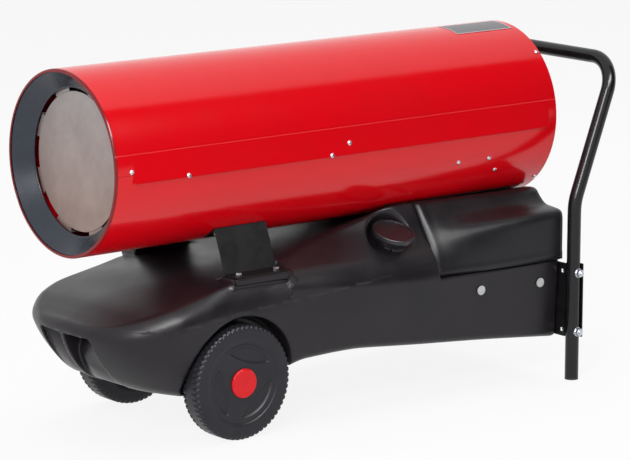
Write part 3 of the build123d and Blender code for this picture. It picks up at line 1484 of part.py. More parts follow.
lid_start = fit_clearance + socket_height + loose_clearance
hinge_lift = lid_start + socket_lid_gauge / 2
hinge_drop = socket_radius + hinge_knuckle_radius + 1
hinge_spot = (socket_spot[0], socket_spot[1] - hinge_drop)
ear_side = hinge_knuckle_width / 2 + loose_clearance
hinge_pin_place = at(panel_face + hinge_lift, hinge_spot[0] - ear_side - hinge_ear_width,
                     hinge_spot[1], (0, 1, 0))
pin_length = 2 * (ear_side + hinge_ear_width)
with BuildPart() as thermostat_socket:
    rod(on_panel(socket_spot, fit_clearance), socket_radius, socket_height)
    for side in SIDES:
        ear = (hinge_spot[0] + side * (ear_side + hinge_ear_width / 2), hinge_spot[1])
        with Locations(on_panel(ear, fit_clearance)):
            Box(2 * hinge_knuckle_radius, hinge_ear_width, hinge_lift + hinge_knuckle_radius,
                align=MIN_Z)
        with Locations((behind(panel_face + fit_clearance), ear[0], hinge_spot[1])):
            Box(socket_height, hinge_ear_width, hinge_drop / 2,
                align=(Align.MIN, Align.CENTER, Align.MIN))
    rod(hinge_pin_place, hinge_pin_radius, pin_length)
    rod(on_panel(socket_spot, -panel_thickness - 12), socket_body_radius,
        panel_thickness + 12 + 1)
    rod(on_panel(socket_spot, -1), socket_bore, socket_height + 2, Mode.SUBTRACT)
save(thermostat_socket, "thermostat_socket")

with BuildPart() as socket_cap:
    rod(on_panel(socket_spot, lid_start), socket_radius, socket_lid_gauge)
    fillet(socket_cap.faces().sort_by(Axis.X)[-1].edges(), 1)
    with Locations((behind(panel_face + lid_start), *hinge_spot)):
        Box(socket_lid_gauge, hinge_knuckle_width, hinge_drop / 2,
            align=(Align.MIN, Align.CENTER, Align.MIN))
    knuckle = at(panel_face + hinge_lift, hinge_spot[0] - hinge_knuckle_width / 2, hinge_spot[1],
                 (0, 1, 0))
    rod(knuckle, hinge_knuckle_radius, hinge_knuckle_width)
    rod(knuckle, hinge_pin_radius + running_clearance, hinge_knuckle_width, Mode.SUBTRACT)
save(socket_cap, "socket_cap")

with BuildPart() as cable_gland:
    with BuildSketch(on_panel(gland_spot, fit_clearance)) as gland_flats:
        RegularPolygon(gland_radius, 6)
    extrude(gland_flats.sketch, amount=gland_height / 3)
    with Locations(on_panel(gland_spot, gland_height / 3)):
        Cone(gland_radius - 1, gland_radius - 4, gland_height * 2 / 3, align=MIN_Z)
    rod(on_panel(gland_spot, -panel_thickness - gland_height / 3), gland_radius - 2,
        panel_thickness + gland_height / 2)
    rod(on_panel(gland_spot, -panel_thickness - fit_clearance - 3), gland_radius, 3)
    rod(on_panel(gland_spot, -panel_thickness - gland_height), gland_bore,
        3 * gland_height, Mode.SUBTRACT)
save(cable_gland, "cable_gland")

board_centre = ((control_start + control_end) / 2, -(control_side + control_inner) / 2)
board_level = control_floor + board_standoff
with BuildPart() as control_board:
    with Locations((behind(board_centre[0]), board_centre[1], board_level)):
        Box(board_length, board_width, board_gauge, align=MIN_Z)
        with GridLocations(board_length - 12, board_width - 12, 2, 2):
            Cylinder(3, board_standoff - fit_clearance, align=MAX_Z)
        with Locations((-34, 0, board_gauge)):
            Box(36, 30, 24, align=MIN_Z)
        with Locations((8, -14, board_gauge)):
            Box(20, 16, 16, align=MIN_Z)
        with Locations((8, 14, board_gauge), (36, 14, board_gauge)):
            Cylinder(6, 18, align=MIN_Z)
        with Locations((42, -12, board_gauge)):
            Box(26, 14, 12, align=MIN_Z)
save(control_board, "control_board")
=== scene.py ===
"""Visual model of a portable forced air heater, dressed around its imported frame. Metres."""
import bpy
import numpy as np
from mathutils import Matrix, Vector


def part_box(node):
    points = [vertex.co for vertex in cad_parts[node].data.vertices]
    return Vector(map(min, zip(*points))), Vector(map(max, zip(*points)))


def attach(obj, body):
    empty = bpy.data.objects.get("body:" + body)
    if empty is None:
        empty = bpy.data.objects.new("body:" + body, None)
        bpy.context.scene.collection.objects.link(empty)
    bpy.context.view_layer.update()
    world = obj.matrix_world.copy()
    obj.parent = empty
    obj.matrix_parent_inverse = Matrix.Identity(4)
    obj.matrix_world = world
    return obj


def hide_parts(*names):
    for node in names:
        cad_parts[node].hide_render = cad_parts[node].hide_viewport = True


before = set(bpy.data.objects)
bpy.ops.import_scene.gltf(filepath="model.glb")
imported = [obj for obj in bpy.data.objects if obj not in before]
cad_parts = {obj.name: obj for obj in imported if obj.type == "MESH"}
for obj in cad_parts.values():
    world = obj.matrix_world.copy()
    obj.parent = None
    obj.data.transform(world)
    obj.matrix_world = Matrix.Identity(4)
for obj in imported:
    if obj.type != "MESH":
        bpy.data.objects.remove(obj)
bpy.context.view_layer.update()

# ------------------------------------------------------------------ camera
# The heater is seen through a long lens from its left front, a little above the tube. The place
# of the camera was fitted to the outlines of the tube, a wheel, the handle and the tank.
camera_target = Vector((0.0036, 0.0, 0.2993))
camera_distance = 5.6475
camera_azimuth, camera_elevation, camera_roll = np.radians((-38.70, 11.46, 0.10))
level_reach = camera_distance * np.cos(camera_elevation)
camera = bpy.data.objects.new("camera", bpy.data.cameras.new("camera"))
camera.location = camera_target + Vector((level_reach * np.sin(camera_azimuth),
                                          -level_reach * np.cos(camera_azimuth),
                                          camera_distance * np.sin(camera_elevation)))
sight = (camera_target - camera.location).to_track_quat("-Z", "Y").to_matrix()
camera.rotation_euler = (sight @ Matrix.Rotation(camera_roll, 3, "Z")).to_euler()
camera.data.sensor_width = 36.0
camera.data.lens = 180.5
camera.data.clip_end = 60.0
bpy.context.scene.collection.objects.link(camera)
bpy.context.scene.camera = camera
bpy.context.scene.view_settings.view_transform = "Standard"


# ------------------------------------------------------------------ floor, room and lamps
# A wide white floor takes the heater's shadow. A long soft box overhead only lights, one at the
# left front shows in gloss too, and a third shows in gloss alone. A dark screen at the right
# front keeps the near side's gloss deep. Seen directly or in gloss, floor and room are white.
def put(tree, kind, values=(), **settings):
    """New node with its settings, whose inputs are given values or are linked to sockets."""
    node = tree.nodes.new(kind)
    for key, value in settings.items():
        setattr(node, key, value)
    for key, value in dict(values).items():
        if isinstance(value, bpy.types.NodeSocket):
            tree.links.new(value, node.inputs[key])
        else:
            node.inputs[key].default_value = value
    return node


def value_of(tree, operation, first, second=0.0):
    """Output of one Math node."""
    return put(tree, "ShaderNodeMath", {0: first, 1: second}, operation=operation).outputs[0]


def blank_material(name):
    """New material with its node tree and its shader."""
    material = bpy.data.materials.new(name)
    material.use_nodes = True
    return material, material.node_tree, material.node_tree.nodes["Principled BSDF"]


def seen_directly(tree):
    """1 for rays from the camera, in gloss or through glass, and 0 for the light on things."""
    path = put(tree, "ShaderNodeLightPath").outputs
    either_ray = value_of(tree, "MAXIMUM", path["Is Camera Ray"], path["Is Glossy Ray"])
    return value_of(tree, "MAXIMUM", either_ray, path["Is Transmission Ray"])


def stage_plane(name, corners, material):
    """Flat stage piece through its corners."""
    mesh = bpy.data.meshes.new(name)
    mesh.from_pydata(corners, [], [tuple(range(len(corners)))])
    mesh.materials.append(material)
    plane = bpy.data.objects.new(name, mesh)
    bpy.context.scene.collection.objects.link(plane)
    return plane


floor_reach = 40.0
floor_white_share = 0.88
floor_paint, floor_tree, floor_shader = blank_material("floor_paint")
floor_shader.inputs["Base Color"].default_value = (0.9, 0.9, 0.9, 1)
floor_shader.inputs["Roughness"].default_value = 0.9
floor_shader.inputs["Specular IOR Level"].default_value = 0.0
floor_glow = put(floor_tree, "ShaderNodeEmission", {"Color": (1, 1, 1, 1), "Strength": 1.0})
floor_share = value_of(floor_tree, "MULTIPLY", seen_directly(floor_tree), floor_white_share)
floor_mix = put(floor_tree, "ShaderNodeMixShader", {0: floor_share, 1: floor_shader.outputs[0],
                                                    2: floor_glow.outputs[0]})
floor_tree.links.new(floor_mix.outputs[0], floor_tree.nodes["Material Output"].inputs["Surface"])
stage_plane("floor", [(x * floor_reach, y * floor_reach, 0.0) for x, y in
                      ((-1, -1), (1, -1), (1, 1), (-1, 1))], floor_paint)

screen_left, screen_right = 0.7, 5.2
screen_top, screen_foot = (-1.05, 3.35), (-3.2, 0.35)
screen_cloth, _, screen_shader = blank_material("screen_cloth")
screen_shader.inputs["Base Color"].default_value = (0.03, 0.03, 0.035, 1)
screen_shader.inputs["Roughness"].default_value = 1.0
screen_shader.inputs["Specular IOR Level"].default_value = 0.0
screen = stage_plane("dark_screen", [(screen_left, *screen_top), (screen_left, *screen_foot),
                                     (screen_right, *screen_foot), (screen_right, *screen_top)],
                     screen_cloth)
screen.visible_camera = False
screen.visible_diffuse = False
screen.visible_shadow = False

room = bpy.data.worlds.new("room")
room.use_nodes = True
room_tree = room.node_tree
room_light = room_tree.nodes["Background"]
room_light.inputs["Color"].default_value = (1.0, 1.0, 1.0, 1)
room_light.inputs["Strength"].default_value = 0.38
room_white = put(room_tree, "ShaderNodeBackground", {"Color": (1, 1, 1, 1), "Strength": 1.0})
room_mix = put(room_tree, "ShaderNodeMixShader", {0: seen_directly(room_tree),
                                                  1: room_light.outputs[0],
                                                  2: room_white.outputs[0]})
room_tree.links.new(room_mix.outputs[0], room_tree.nodes["World Output"].inputs["Surface"])
bpy.context.scene.world = room


def soft_box(name, place, aim, width, height, power, in_gloss=True, in_diffuse=True):
    """Rectangular lamp that faces its aim with its width level."""
    lamp = bpy.data.objects.new(name, bpy.data.lights.new(name, "AREA"))
    lamp.data.shape = "RECTANGLE"
    lamp.data.size, lamp.data.size_y = width, height
    lamp.data.energy = power
    lamp.visible_glossy = in_gloss
    lamp.visible_diffuse = in_diffuse
    lamp.location = place
    lamp.rotation_euler = (Vector(aim) - Vector(place)).to_track_quat("-Z", "Y").to_euler()
    bpy.context.scene.collection.objects.link(lamp)


soft_box("long_box", (0.6, 0.2, 3.4), (0.6, 0.0, 0.5), 4.6, 2.1, 64, in_gloss=False)
soft_box("left_box", (-3.4, -2.6, 2.4), (0, 0, 0.3), 1.3, 1.3, 110)
soft_box("glint_box", (-0.35, -2.5, 2.8), (-0.35, 0, 0.25), 3.0, 1.0, 190, in_diffuse=False)

# ------------------------------------------------------------------ fuel tank
# One blow-moulded tank of satin charcoal plastic carries the whole heater. Its nose is a bow
# with two pockets under it, its deck rises to a saddle that follows the tube, and it is cut
# away for the wheels, the axle, the filler and the control housing.
outlet_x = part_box("upper_shell")[0].x
# Tank, wheels and cover have their sizes in millimetres: set back from the outlet's rim, across
# from the middle and up from the floor.
axis_height = 480.0
tank_front, tank_rear, tank_floor, tank_top = -8.0, 970.0, 74.0, 354.0
tank_half_width = 188.0
nose_length, nose_fullness = 136.0, 2.4
nose_keel, nose_foot, nose_sweep, nose_lean = 206.0, 124.0, 33.0, 1.9
side_bulge, bulge_end, bulge_fade = 5.0, 700.0, 200.0
parting_height, parting_rise, parting_low = 209.0, 0.075, 95.0
parting_step, parting_blur = 1.3, 2.6
# setback, side pulled in, foot pulled in, floor, shoulder, deck across and up, ridge across and
# up, middle, rounding of the shoulder
tank_stations = np.array((
    (-8, 0, 14, 190, 198, 60, 207, 34, 208, 209, 12),
    (0, 0, 24, 172, 200, 74, 210, 48, 212, 213, 14),
    (12, 0, 34, 148, 203, 92, 214, 62, 216, 217, 16),
    (30, 0, 40, 124, 208, 118, 221, 78, 224, 225, 18),
    (60, 0, 42, 104, 215, 144, 232, 88, 237, 238, 20),
    (110, 0, 43, 89, 226, 158, 244, 92, 250, 251, 24),
    (180, 5, 36, 79, 238, 158, 257, 95, 267, 268, 26),
    (245, 9, 34, 79, 245, 158, 269, 97, 277, 278, 28),
    (295, 9, 31, 79, 248, 158, 271, 98, 281, 282, 28),
    (335, 7, 28, 97, 250, 158, 273, 99, 285, 285, 28),
    (400, 4, 22, 115, 253, 156, 275, 101, 299, 296, 28),
    (490, 1, 16, 118, 253, 152, 277, 102, 318, 305, 28),
    (575, 0, 12, 112, 252, 148, 279, 103, 338, 313, 28),
    (640, 0, 10, 106, 250, 146, 280, 104, 352, 319, 28),
    (800, 0, 8, 92, 248, 146, 280, 104, 353, 320, 28),
    (970, 0, 7, 74, 248, 146, 280, 104, 353, 320, 28)), float)
deck_share, ridge_share, crown_share, steep_ramp = 0.92, 0.8, 1.4, 14.0
bottom_round, deck_round, ramp_round, ridge_round, end_round = 12.0, 14.0, 3.0, 8.0, 8.0
cradle_radius, cradle_round = 162.3, 7.0
arch_setback, arch_height, arch_radius, arch_inner = 250.0, 102.0, 111.0, 130.0
arch_round, arch_edge = 12.0, 4.0
axle_setback, axle_height, groove_radius, groove_edge = 245.0, 100.0, 10.6, 2.0
recess_setback, recess_side, recess_floor = 682.7, -88.0, 222.0
recess_round, recess_foot_round, recess_edge = 3.0, 4.0, 3.0
neck_spot, neck_tilt = (607.0, -140.0, 303.0), np.radians(21.0)
neck_radius, neck_bore, neck_length, neck_round, neck_foot_round = 24.0, 20.0, 42.0, 1.0, 3.0
scoop_radius, scoop_depth, scoop_round, scoop_edge = 46.0, 15.0, 9.0, 6.0
pad_setbacks, pad_sides, pad_height, pad_depth = (239.0, 357.0), (127.0, 169.0), 278.5, 12.0
pad_clearance, pad_round, pad_foot_round = 1.0, 2.0, 9.0
fitting_setbacks, fitting_side, fitting_radius = (696.5, 718.5), 152.0, 13.0
fitting_height, fitting_depth, fitting_round, fitting_foot_round = 284.0, 26.0, 1.5, 3.0
pocket_depth, pocket_least, pocket_rib, pocket_end = 62.0, 1.8, 5.5, 94.0
pocket_roof, pocket_foot, pocket_side = 191.5, 106.0, 73.0
pocket_climb, pocket_side_share, pocket_side_climb = 1.3, 0.9, 0.7
pocket_round, pocket_back_round, rib_round, pocket_edge = 9.0, 2.0, 3.0, 1.5


def lines_along(setback):
    """Every line of the stations at a setback: a cubic from station to station whose slope at
    each is the harmonic mean of the slopes beside it, so that no line swings past one."""
    places, values = tank_stations[:, 0], tank_stations[:, 1:]
    slopes = np.diff(values, axis=0) / np.diff(places)[:, None]
    before, after = slopes[:-1], slopes[1:]
    same_way = before * after > 0
    inner = np.where(same_way, 2 * before * after / np.where(same_way, before + after, 1), 0)
    tangents = np.vstack([slopes[:1], inner, slopes[-1:]])
    setback = np.clip(setback, places[0], places[-1])
    i = np.clip(np.searchsorted(places, setback, "right") - 1, 0, len(places) - 2)
    step = (places[i + 1] - places[i])[..., None]
    t = (setback - places[i])[..., None] / step
    line = ((1 + 2 * t) * (1 - t) ** 2 * values[i] + t * (1 - t) ** 2 * step * tangents[i]
            + t * t * (3 - 2 * t) * values[i + 1] + t * t * (t - 1) * step * tangents[i + 1])
    return np.moveaxis(line, -1, 0)


def both(a, b, rounding):
    """Distance to what lies inside both shapes, with the edge between them rounded off."""
    return (np.minimum(-rounding, np.maximum(a, b))
            + np.hypot(np.maximum(rounding + a, 0), np.maximum(rounding + b, 0)))


def either(a, b, rounding):
    """Distance to what lies inside one shape or the other, with the corner filled in."""
    return -both(-a, -b, rounding)


def above_line(start, end, across, up):
    """Distance outside the straight face of a section that runs from start to end."""
    run = end[0] - start[0], end[1] - start[1]
    return ((across - start[0]) * run[1] - (up - start[1]) * run[0]) / np.hypot(*run)


def tank_block(setback, across, up):
    """The tank before anything is cut away. Seen from above its side is a superellipse at the
    nose and straight behind it, pulled in towards the floor and swept back under the bow; floor,
    side, deck slope, ramp and top of each section are rounded into each other."""
    (pulled, foot, floor_up, shoulder, deck_across, deck_up, ridge_across, ridge_up, middle,
     shoulder_round) = lines_along(setback)
    height_share = np.clip((up - floor_up) / (shoulder - floor_up), 0, 1)
    inset = pulled + (foot - pulled) * (1 - height_share)
    bulge = side_bulge * np.clip((bulge_end - setback) / bulge_fade, 0, 1)
    inset = inset - 4 * bulge * height_share * (1 - height_share)
    swept = nose_sweep * (np.maximum(nose_keel - up, 0) / (nose_keel - nose_foot)) ** nose_lean
    ahead = 1 - np.minimum((setback - tank_front - swept) / nose_length, 1)
    beside = np.maximum(across + inset, 0) / tank_half_width
    side = tank_half_width * ((ahead ** nose_fullness + beside ** nose_fullness)
                              ** (1 / nose_fullness) - 1)
    along = np.clip((setback - tank_front) / nose_length, 0, 1)
    wide = tank_half_width * (1 - (1 - along) ** nose_fullness) ** (1 / nose_fullness) - pulled
    deck_across = np.minimum(deck_across, wide * deck_share)
    ridge_across = np.minimum(ridge_across, deck_across * ridge_share)
    slope = above_line((wide + 1, shoulder), (deck_across, deck_up), across, up)
    ramp = above_line((deck_across, deck_up), (ridge_across, ridge_up), across, up)
    crown = (ridge_up - middle) / np.maximum(ridge_across, 1) ** 2
    reach = np.minimum(across, crown_share * ridge_across)
    top = (up - middle - crown * reach ** 2) / np.hypot(1, 2 * crown * reach)
    # the upper half of the mould stands a little proud of the lower half
    parting = parting_height + parting_rise * np.abs(setback - parting_low)
    step = parting_step * np.clip((parting - up) / parting_blur + 0.5, 0, 1)
    steep = ridge_up - deck_up > steep_ramp
    upper = np.where(steep, either(slope, ramp, deck_round), both(slope, ramp, ramp_round))
    upper = both(upper, top, ridge_round)
    lower = both(floor_up - up, side + step, bottom_round)
    block = both(upper, lower, shoulder_round)
    return both(block, setback - tank_rear, end_round)


def tank_field(setback, side, up):
    """The block less its hollows: the pockets under the nose, the tube's saddle, wheel arches,
    axle groove, control recess, pads for the brackets and the scoop round the filler neck."""
    across = np.abs(side)
    block = tank_block(setback, across, up)
    climb = np.clip((up - pocket_foot) / (pocket_roof - pocket_foot), 0, 1)
    pocket = both(across - pocket_side, up - pocket_roof, pocket_round)
    from_side = np.clip(1 - pocket_side_share * across / pocket_side, 0, 1)
    deep = pocket_least + pocket_depth * climb ** pocket_climb * from_side ** pocket_side_climb
    pocket = both(pocket, -(block + deep), pocket_back_round)
    pocket = both(pocket, pocket_rib - across, rib_round)
    pocket = np.maximum(pocket, setback - pocket_end)
    shape = both(block, -pocket, pocket_edge)
    shape = both(shape, cradle_radius - np.hypot(across, up - axis_height), cradle_round)
    arch = np.hypot(setback - arch_setback, up - arch_height) - arch_radius
    shape = both(shape, -both(arch, arch_inner - across, arch_round), arch_edge)
    groove = np.hypot(setback - axle_setback, np.maximum(up - axle_height, 0)) - groove_radius
    shape = both(shape, -groove, groove_edge)
    recess = both(recess_setback - setback, side - recess_side, recess_round)
    shape = both(shape, -both(recess, recess_floor - up, recess_foot_round), recess_edge)
    pad = np.maximum(np.abs(setback - np.mean(pad_setbacks)) - np.ptp(pad_setbacks) / 2,
                     np.abs(across - np.mean(pad_sides)) - np.ptp(pad_sides) / 2)
    shape = both(shape, -both(pad - pad_clearance, pad_height - up, pad_round), pad_round)
    pad = both(np.maximum(pad, pad_height - pad_depth - up), up - pad_height, pad_round)
    shape = either(shape, pad, pad_foot_round)
    for spot in fitting_setbacks:
        post = np.hypot(setback - spot, side - fitting_side) - fitting_radius
        post = both(np.maximum(post, fitting_height - fitting_depth - up), up - fitting_height,
                    fitting_round)
        shape = either(shape, post, fitting_foot_round)
    lean = np.sin(neck_tilt), np.cos(neck_tilt)
    aside, above = side - neck_spot[1], up - neck_spot[2]
    rise = -aside * lean[0] + above * lean[1]
    from_neck = np.hypot(setback - neck_spot[0], aside * lean[1] + above * lean[0])
    scoop = both(from_neck - scoop_radius, -scoop_depth - rise, scoop_round)
    shape = both(shape, -scoop, scoop_edge)
    neck = both(from_neck - neck_radius, rise, neck_round)
    shape = either(shape, np.maximum(neck, -neck_length - rise), neck_foot_round)
    bore = np.maximum(from_neck - neck_bore, -neck_length - rise)
    return both(shape, -bore, neck_round)


def skin_of(field, low, high, cell):
    """Closed skin where a field is zero. Each grid cell that the skin crosses gets one point, at
    the mean of the crossings on its edges, and each crossed grid edge a face through the four
    cells round it. The points are then moved along the field's slope until they lie on it."""
    axes = [np.arange(a - 2 * cell, b + 3 * cell, cell) for a, b in zip(low, high)]
    value = np.broadcast_to(field(*np.meshgrid(*axes, indexing="ij", sparse=True)),
                            [len(axis) for axis in axes])
    total, count, edges = np.zeros((*value.shape, 3)), np.zeros(value.shape, int), []
    for axis in range(3):
        order = [axis, (axis + 1) % 3, (axis + 2) % 3]
        turned = np.transpose(value, order)
        start, end = turned[:-1], turned[1:]
        crossed = (start < 0) != (end < 0)
        corner = np.empty((np.count_nonzero(crossed), 3), int)
        corner[:, order] = np.argwhere(crossed)
        spot = corner.astype(float)
        spot[:, axis] += start[crossed] / (start[crossed] - end[crossed])
        around = []
        for back in ((0, 0), (1, 0), (1, 1), (0, 1)):
            owner = corner.copy()
            owner[:, order[1]] -= back[0]
            owner[:, order[2]] -= back[1]
            np.add.at(total, tuple(owner.T), spot)
            np.add.at(count, tuple(owner.T), 1)
            around.append(owner)
        edges.append((around, start[crossed] < 0))
    used = count > 0
    number = np.full(value.shape, -1)
    number[used] = np.arange(np.count_nonzero(used))
    points = total[used] / count[used][:, None] * cell + [axis[0] for axis in axes]
    faces = []
    for around, outwards in edges:
        ring = np.stack([number[tuple(owner.T)] for owner in around], 1)
        faces.append(np.where(outwards[:, None], ring, ring[:, ::-1]))
    nudge, rounds, least_steep = 0.05 * cell, 5, 0.05
    for _ in range(rounds):
        slope = np.stack([(field(*(points + nudge * way).T) - field(*(points - nudge * way).T))
                          / (2 * nudge) for way in np.eye(3)], 1)
        steep = np.sum(slope ** 2, 1)
        shift = np.clip(field(*points.T) / np.maximum(steep, least_steep), -cell / 2, cell / 2)
        points = points - shift[:, None] * slope
    normals = slope / np.sqrt(np.maximum(steep, 1e-9))[:, None]
    return points, np.concatenate(faces), normals


def new_piece(name, points, faces, body, material, replaced=(), normals=None):
    """Smooth piece from points in metres, that rides on a body, wears one material and stands
    for the CAD nodes that it replaces."""
    mesh = bpy.data.meshes.new(name)
    mesh.from_pydata(points.tolist(), [], faces.tolist())
    mesh.polygons.foreach_set("use_smooth", np.ones(len(mesh.polygons), bool))
    mesh.materials.append(material)
    if normals is not None:
        mesh.normals_split_custom_set_from_vertices(normals.tolist())
    piece = bpy.data.objects.new(name, mesh)
    bpy.context.scene.collection.objects.link(piece)
    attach(piece, body)
    if replaced:
        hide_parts(*replaced)
    return piece


def new_group(name, inputs, outputs):
    """Shader node group with its sockets, and its input and output nodes."""
    group = bpy.data.node_groups.new(name, "ShaderNodeTree")
    for label, kind in inputs.items():
        group.interface.new_socket(label, in_out="INPUT", socket_type="NodeSocket" + kind)
    for label, kind in outputs.items():
        group.interface.new_socket(label, in_out="OUTPUT", socket_type="NodeSocket" + kind)
    return group, put(group, "NodeGroupInput").outputs, put(group, "NodeGroupOutput").inputs


# Mottled surface: two tones in cloudy patches, a roughness that follows the patches, and a fine
# grain for the bump, all from noise over the piece's own coordinates.
patch_low, patch_high = 0.32, 0.68
mottled, given, result = new_group(
    "mottled_surface",
    {"Tone": "Color", "Second Tone": "Color", "Patches": "Float", "Grain": "Float",
     "Smoothest": "Float", "Roughest": "Float"},
    {"Color": "Color", "Roughness": "Float", "Height": "Float"})
place = put(mottled, "ShaderNodeTexCoord").outputs["Object"]
patch = put(mottled, "ShaderNodeTexNoise", {"Vector": place, "Scale": given["Patches"],
                                            "Detail": 4.0, "Roughness": 0.62})
grain = put(mottled, "ShaderNodeTexNoise", {"Vector": place, "Scale": given["Grain"],
                                            "Detail": 2.0})
spread = put(mottled, "ShaderNodeMapRange", {"Value": patch.outputs[0], "From Min": patch_low,
                                             "From Max": patch_high})
tone = put(mottled, "ShaderNodeMix", {0: spread.outputs[0], 6: given["Tone"],
                                      7: given["Second Tone"]}, data_type="RGBA")
rough = put(mottled, "ShaderNodeMapRange", {"Value": patch.outputs[0], "From Min": patch_low,
                                            "From Max": patch_high, "To Min": given["Smoothest"],
                                            "To Max": given["Roughest"]})
mottled.links.new(tone.outputs[2], result["Color"])
mottled.links.new(rough.outputs[0], result["Roughness"])
mottled.links.new(grain.outputs[0], result["Height"])

# Rubbed edges: where the surface turns sharply within the width, broken up by noise, the colour
# goes over to the rubbed one; the softened normal takes the sharpness off the edge.
rub_breaks_per_metre = 260.0
rubbed, given, result = new_group(
    "rubbed_edges",
    {"Color": "Color", "Rubbed": "Color", "Width": "Float", "Share": "Float"},
    {"Color": "Color", "Normal": "Vector"})
bevelled = put(rubbed, "ShaderNodeBevel", {"Radius": given["Width"]}, samples=4)
facing = put(rubbed, "ShaderNodeVectorMath",
             {0: bevelled.outputs[0], 1: put(rubbed, "ShaderNodeNewGeometry").outputs["Normal"]},
             operation="DOT_PRODUCT")
broken = put(rubbed, "ShaderNodeTexNoise",
             {"Vector": put(rubbed, "ShaderNodeTexCoord").outputs["Object"],
              "Scale": rub_breaks_per_metre, "Detail": 3.0})
turned_share = put(rubbed, "ShaderNodeMapRange", {"Value": facing.outputs["Value"],
                                                  "From Min": 0.97, "From Max": 0.8})
broken_share = put(rubbed, "ShaderNodeMapRange", {"Value": broken.outputs[0], "From Min": 0.38,
                                                  "From Max": 0.62})
edge_mask = value_of(rubbed, "MULTIPLY", turned_share.outputs[0], broken_share.outputs[0])
edge_share = value_of(rubbed, "MULTIPLY", edge_mask, given["Share"])
edge_tone = put(rubbed, "ShaderNodeMix", {0: edge_share, 6: given["Color"], 7: given["Rubbed"]},
                data_type="RGBA")
rubbed.links.new(edge_tone.outputs[2], result["Color"])
rubbed.links.new(bevelled.outputs[0], result["Normal"])


def mottled_face(tree, tone, second_tone, patches, grain, rough):
    """Mottled surface in a material: two tones, patches and grains per metre, and the smoothest
    and roughest roughness."""
    return put(tree, "ShaderNodeGroup",
               {"Tone": (*tone, 1), "Second Tone": (*second_tone, 1), "Patches": patches,
                "Grain": grain, "Smoothest": rough[0], "Roughest": rough[1]},
               node_tree=mottled).outputs


def finish_of(name, tone, second_tone, patches, grain_size, depth, rough, metallic=0.0, gloss=0.5,
              rubbed_tone=None, edge=0.0008, worn=0.0):
    """Material from the two groups above: tones, patches per metre, size and depth of the grain
    in metres, smoothest and roughest roughness, and how its edges are softened and worn."""
    material, tree, shader = blank_material(name)
    shader.inputs["Metallic"].default_value = metallic
    shader.inputs["Specular IOR Level"].default_value = gloss
    face = mottled_face(tree, tone, second_tone, patches, 1 / grain_size, rough)
    edges = put(tree, "ShaderNodeGroup",
                {"Color": face["Color"], "Rubbed": (*(rubbed_tone or tone), 1), "Width": edge,
                 "Share": worn}, node_tree=rubbed).outputs
    bump = put(tree, "ShaderNodeBump", {"Strength": 1.0, "Distance": depth,
                                        "Height": face["Height"], "Normal": edges["Normal"]})
    tree.links.new(edges["Color"], shader.inputs["Base Color"])
    tree.links.new(face["Roughness"], shader.inputs["Roughness"])
    tree.links.new(bump.outputs[0], shader.inputs["Normal"])
    return material


def dress(material, *names):
    """Gives CAD nodes their material."""
    for name in names:
        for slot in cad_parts[name].material_slots:
            slot.material = material


charcoal = finish_of("moulded_charcoal", (0.0105, 0.0086, 0.0118), (0.0165, 0.0135, 0.0165), 9,
                     0.0011, 0.00012, (0.28, 0.38), gloss=0.3, rubbed_tone=(0.05, 0.048, 0.052),
                     edge=0.002, worn=0.2)
tank_cell = 3.9
points, faces, normals = skin_of(tank_field, (tank_front, -tank_half_width, tank_floor),
                                 (tank_rear, tank_half_width, tank_top), tank_cell)
points[:, 0] += outlet_x * 1000
new_piece("tank_moulding", points / 1000, faces, "heater", charcoal,
          ["fuel_tank"], normals)

# ------------------------------------------------------------------ tank fittings
# Pale moulded plugs close the tank's side and drain. The strainer hangs in the filler neck, and
# the brass suction and return pipes stand in the two fittings on the right.
dress(finish_of("plug_nylon", (0.62, 0.64, 0.63), (0.52, 0.54, 0.53), 60, 0.0009, 0.00008,
                (0.35, 0.5)), "tank_plugs")
turned_brass = finish_of("turned_brass", (0.62, 0.42, 0.16), (0.48, 0.33, 0.14), 70, 0.0005,
                         0.00003, (0.22, 0.4), metallic=1.0)
dress(turned_brass, "tank_pipes")
dress(finish_of("strainer_nylon", (0.03, 0.03, 0.03), (0.05, 0.05, 0.05), 50, 0.0008, 0.00008,
                (0.4, 0.55)), "filler_strainer")

# ------------------------------------------------------------------ wheels and axle
# Each wheel is one moulding of dark grey plastic: a tyre with two rows of lugs, a flat face with
# a groove and three lens-shaped hollows, and a pocket for the hub cap. It turns on a zinc-plated
# steel axle that two clamps hold in the tank's groove; a gloss red cap hides the axle's end.
wheel_radius, wheel_middle, wheel_setback = 100.0, 100.0, 245.0
wheel_inner, wheel_outer, wheel_face = 137.0, 181.0, 180.0
hub_bore, hub_inner, hub_outer, hub_radius, pocket_radius = 10.1, 133.2, 169.0, 30.0, 24.0
wheel_groove, groove_width, groove_wall, groove_depth = 66.0, 7.0, 1.5, 0.6
back_hollow, tyre_round, tyre_steps = 4.0, 6.0, 6
lug_count, lug_steps, lug_depth, lug_foot = 60, 14, 2.2, 2.5
# shares of a lug's pitch and of the tread's width
lug_gap, lug_wall, lug_start, lug_blend = 0.36, 0.14, 0.2, 0.03
lens_turns, lens_centre, lens_near, lens_far = (73, 193, 313), 162.0, 35.0, 62.8
lens_depth, lens_wall, lens_round = 3.2, 3.4, 2.0


def run_of(start, end, count):
    """Evenly spaced points from a start up to, but without, an end."""
    return np.linspace(start, end, count, endpoint=False)


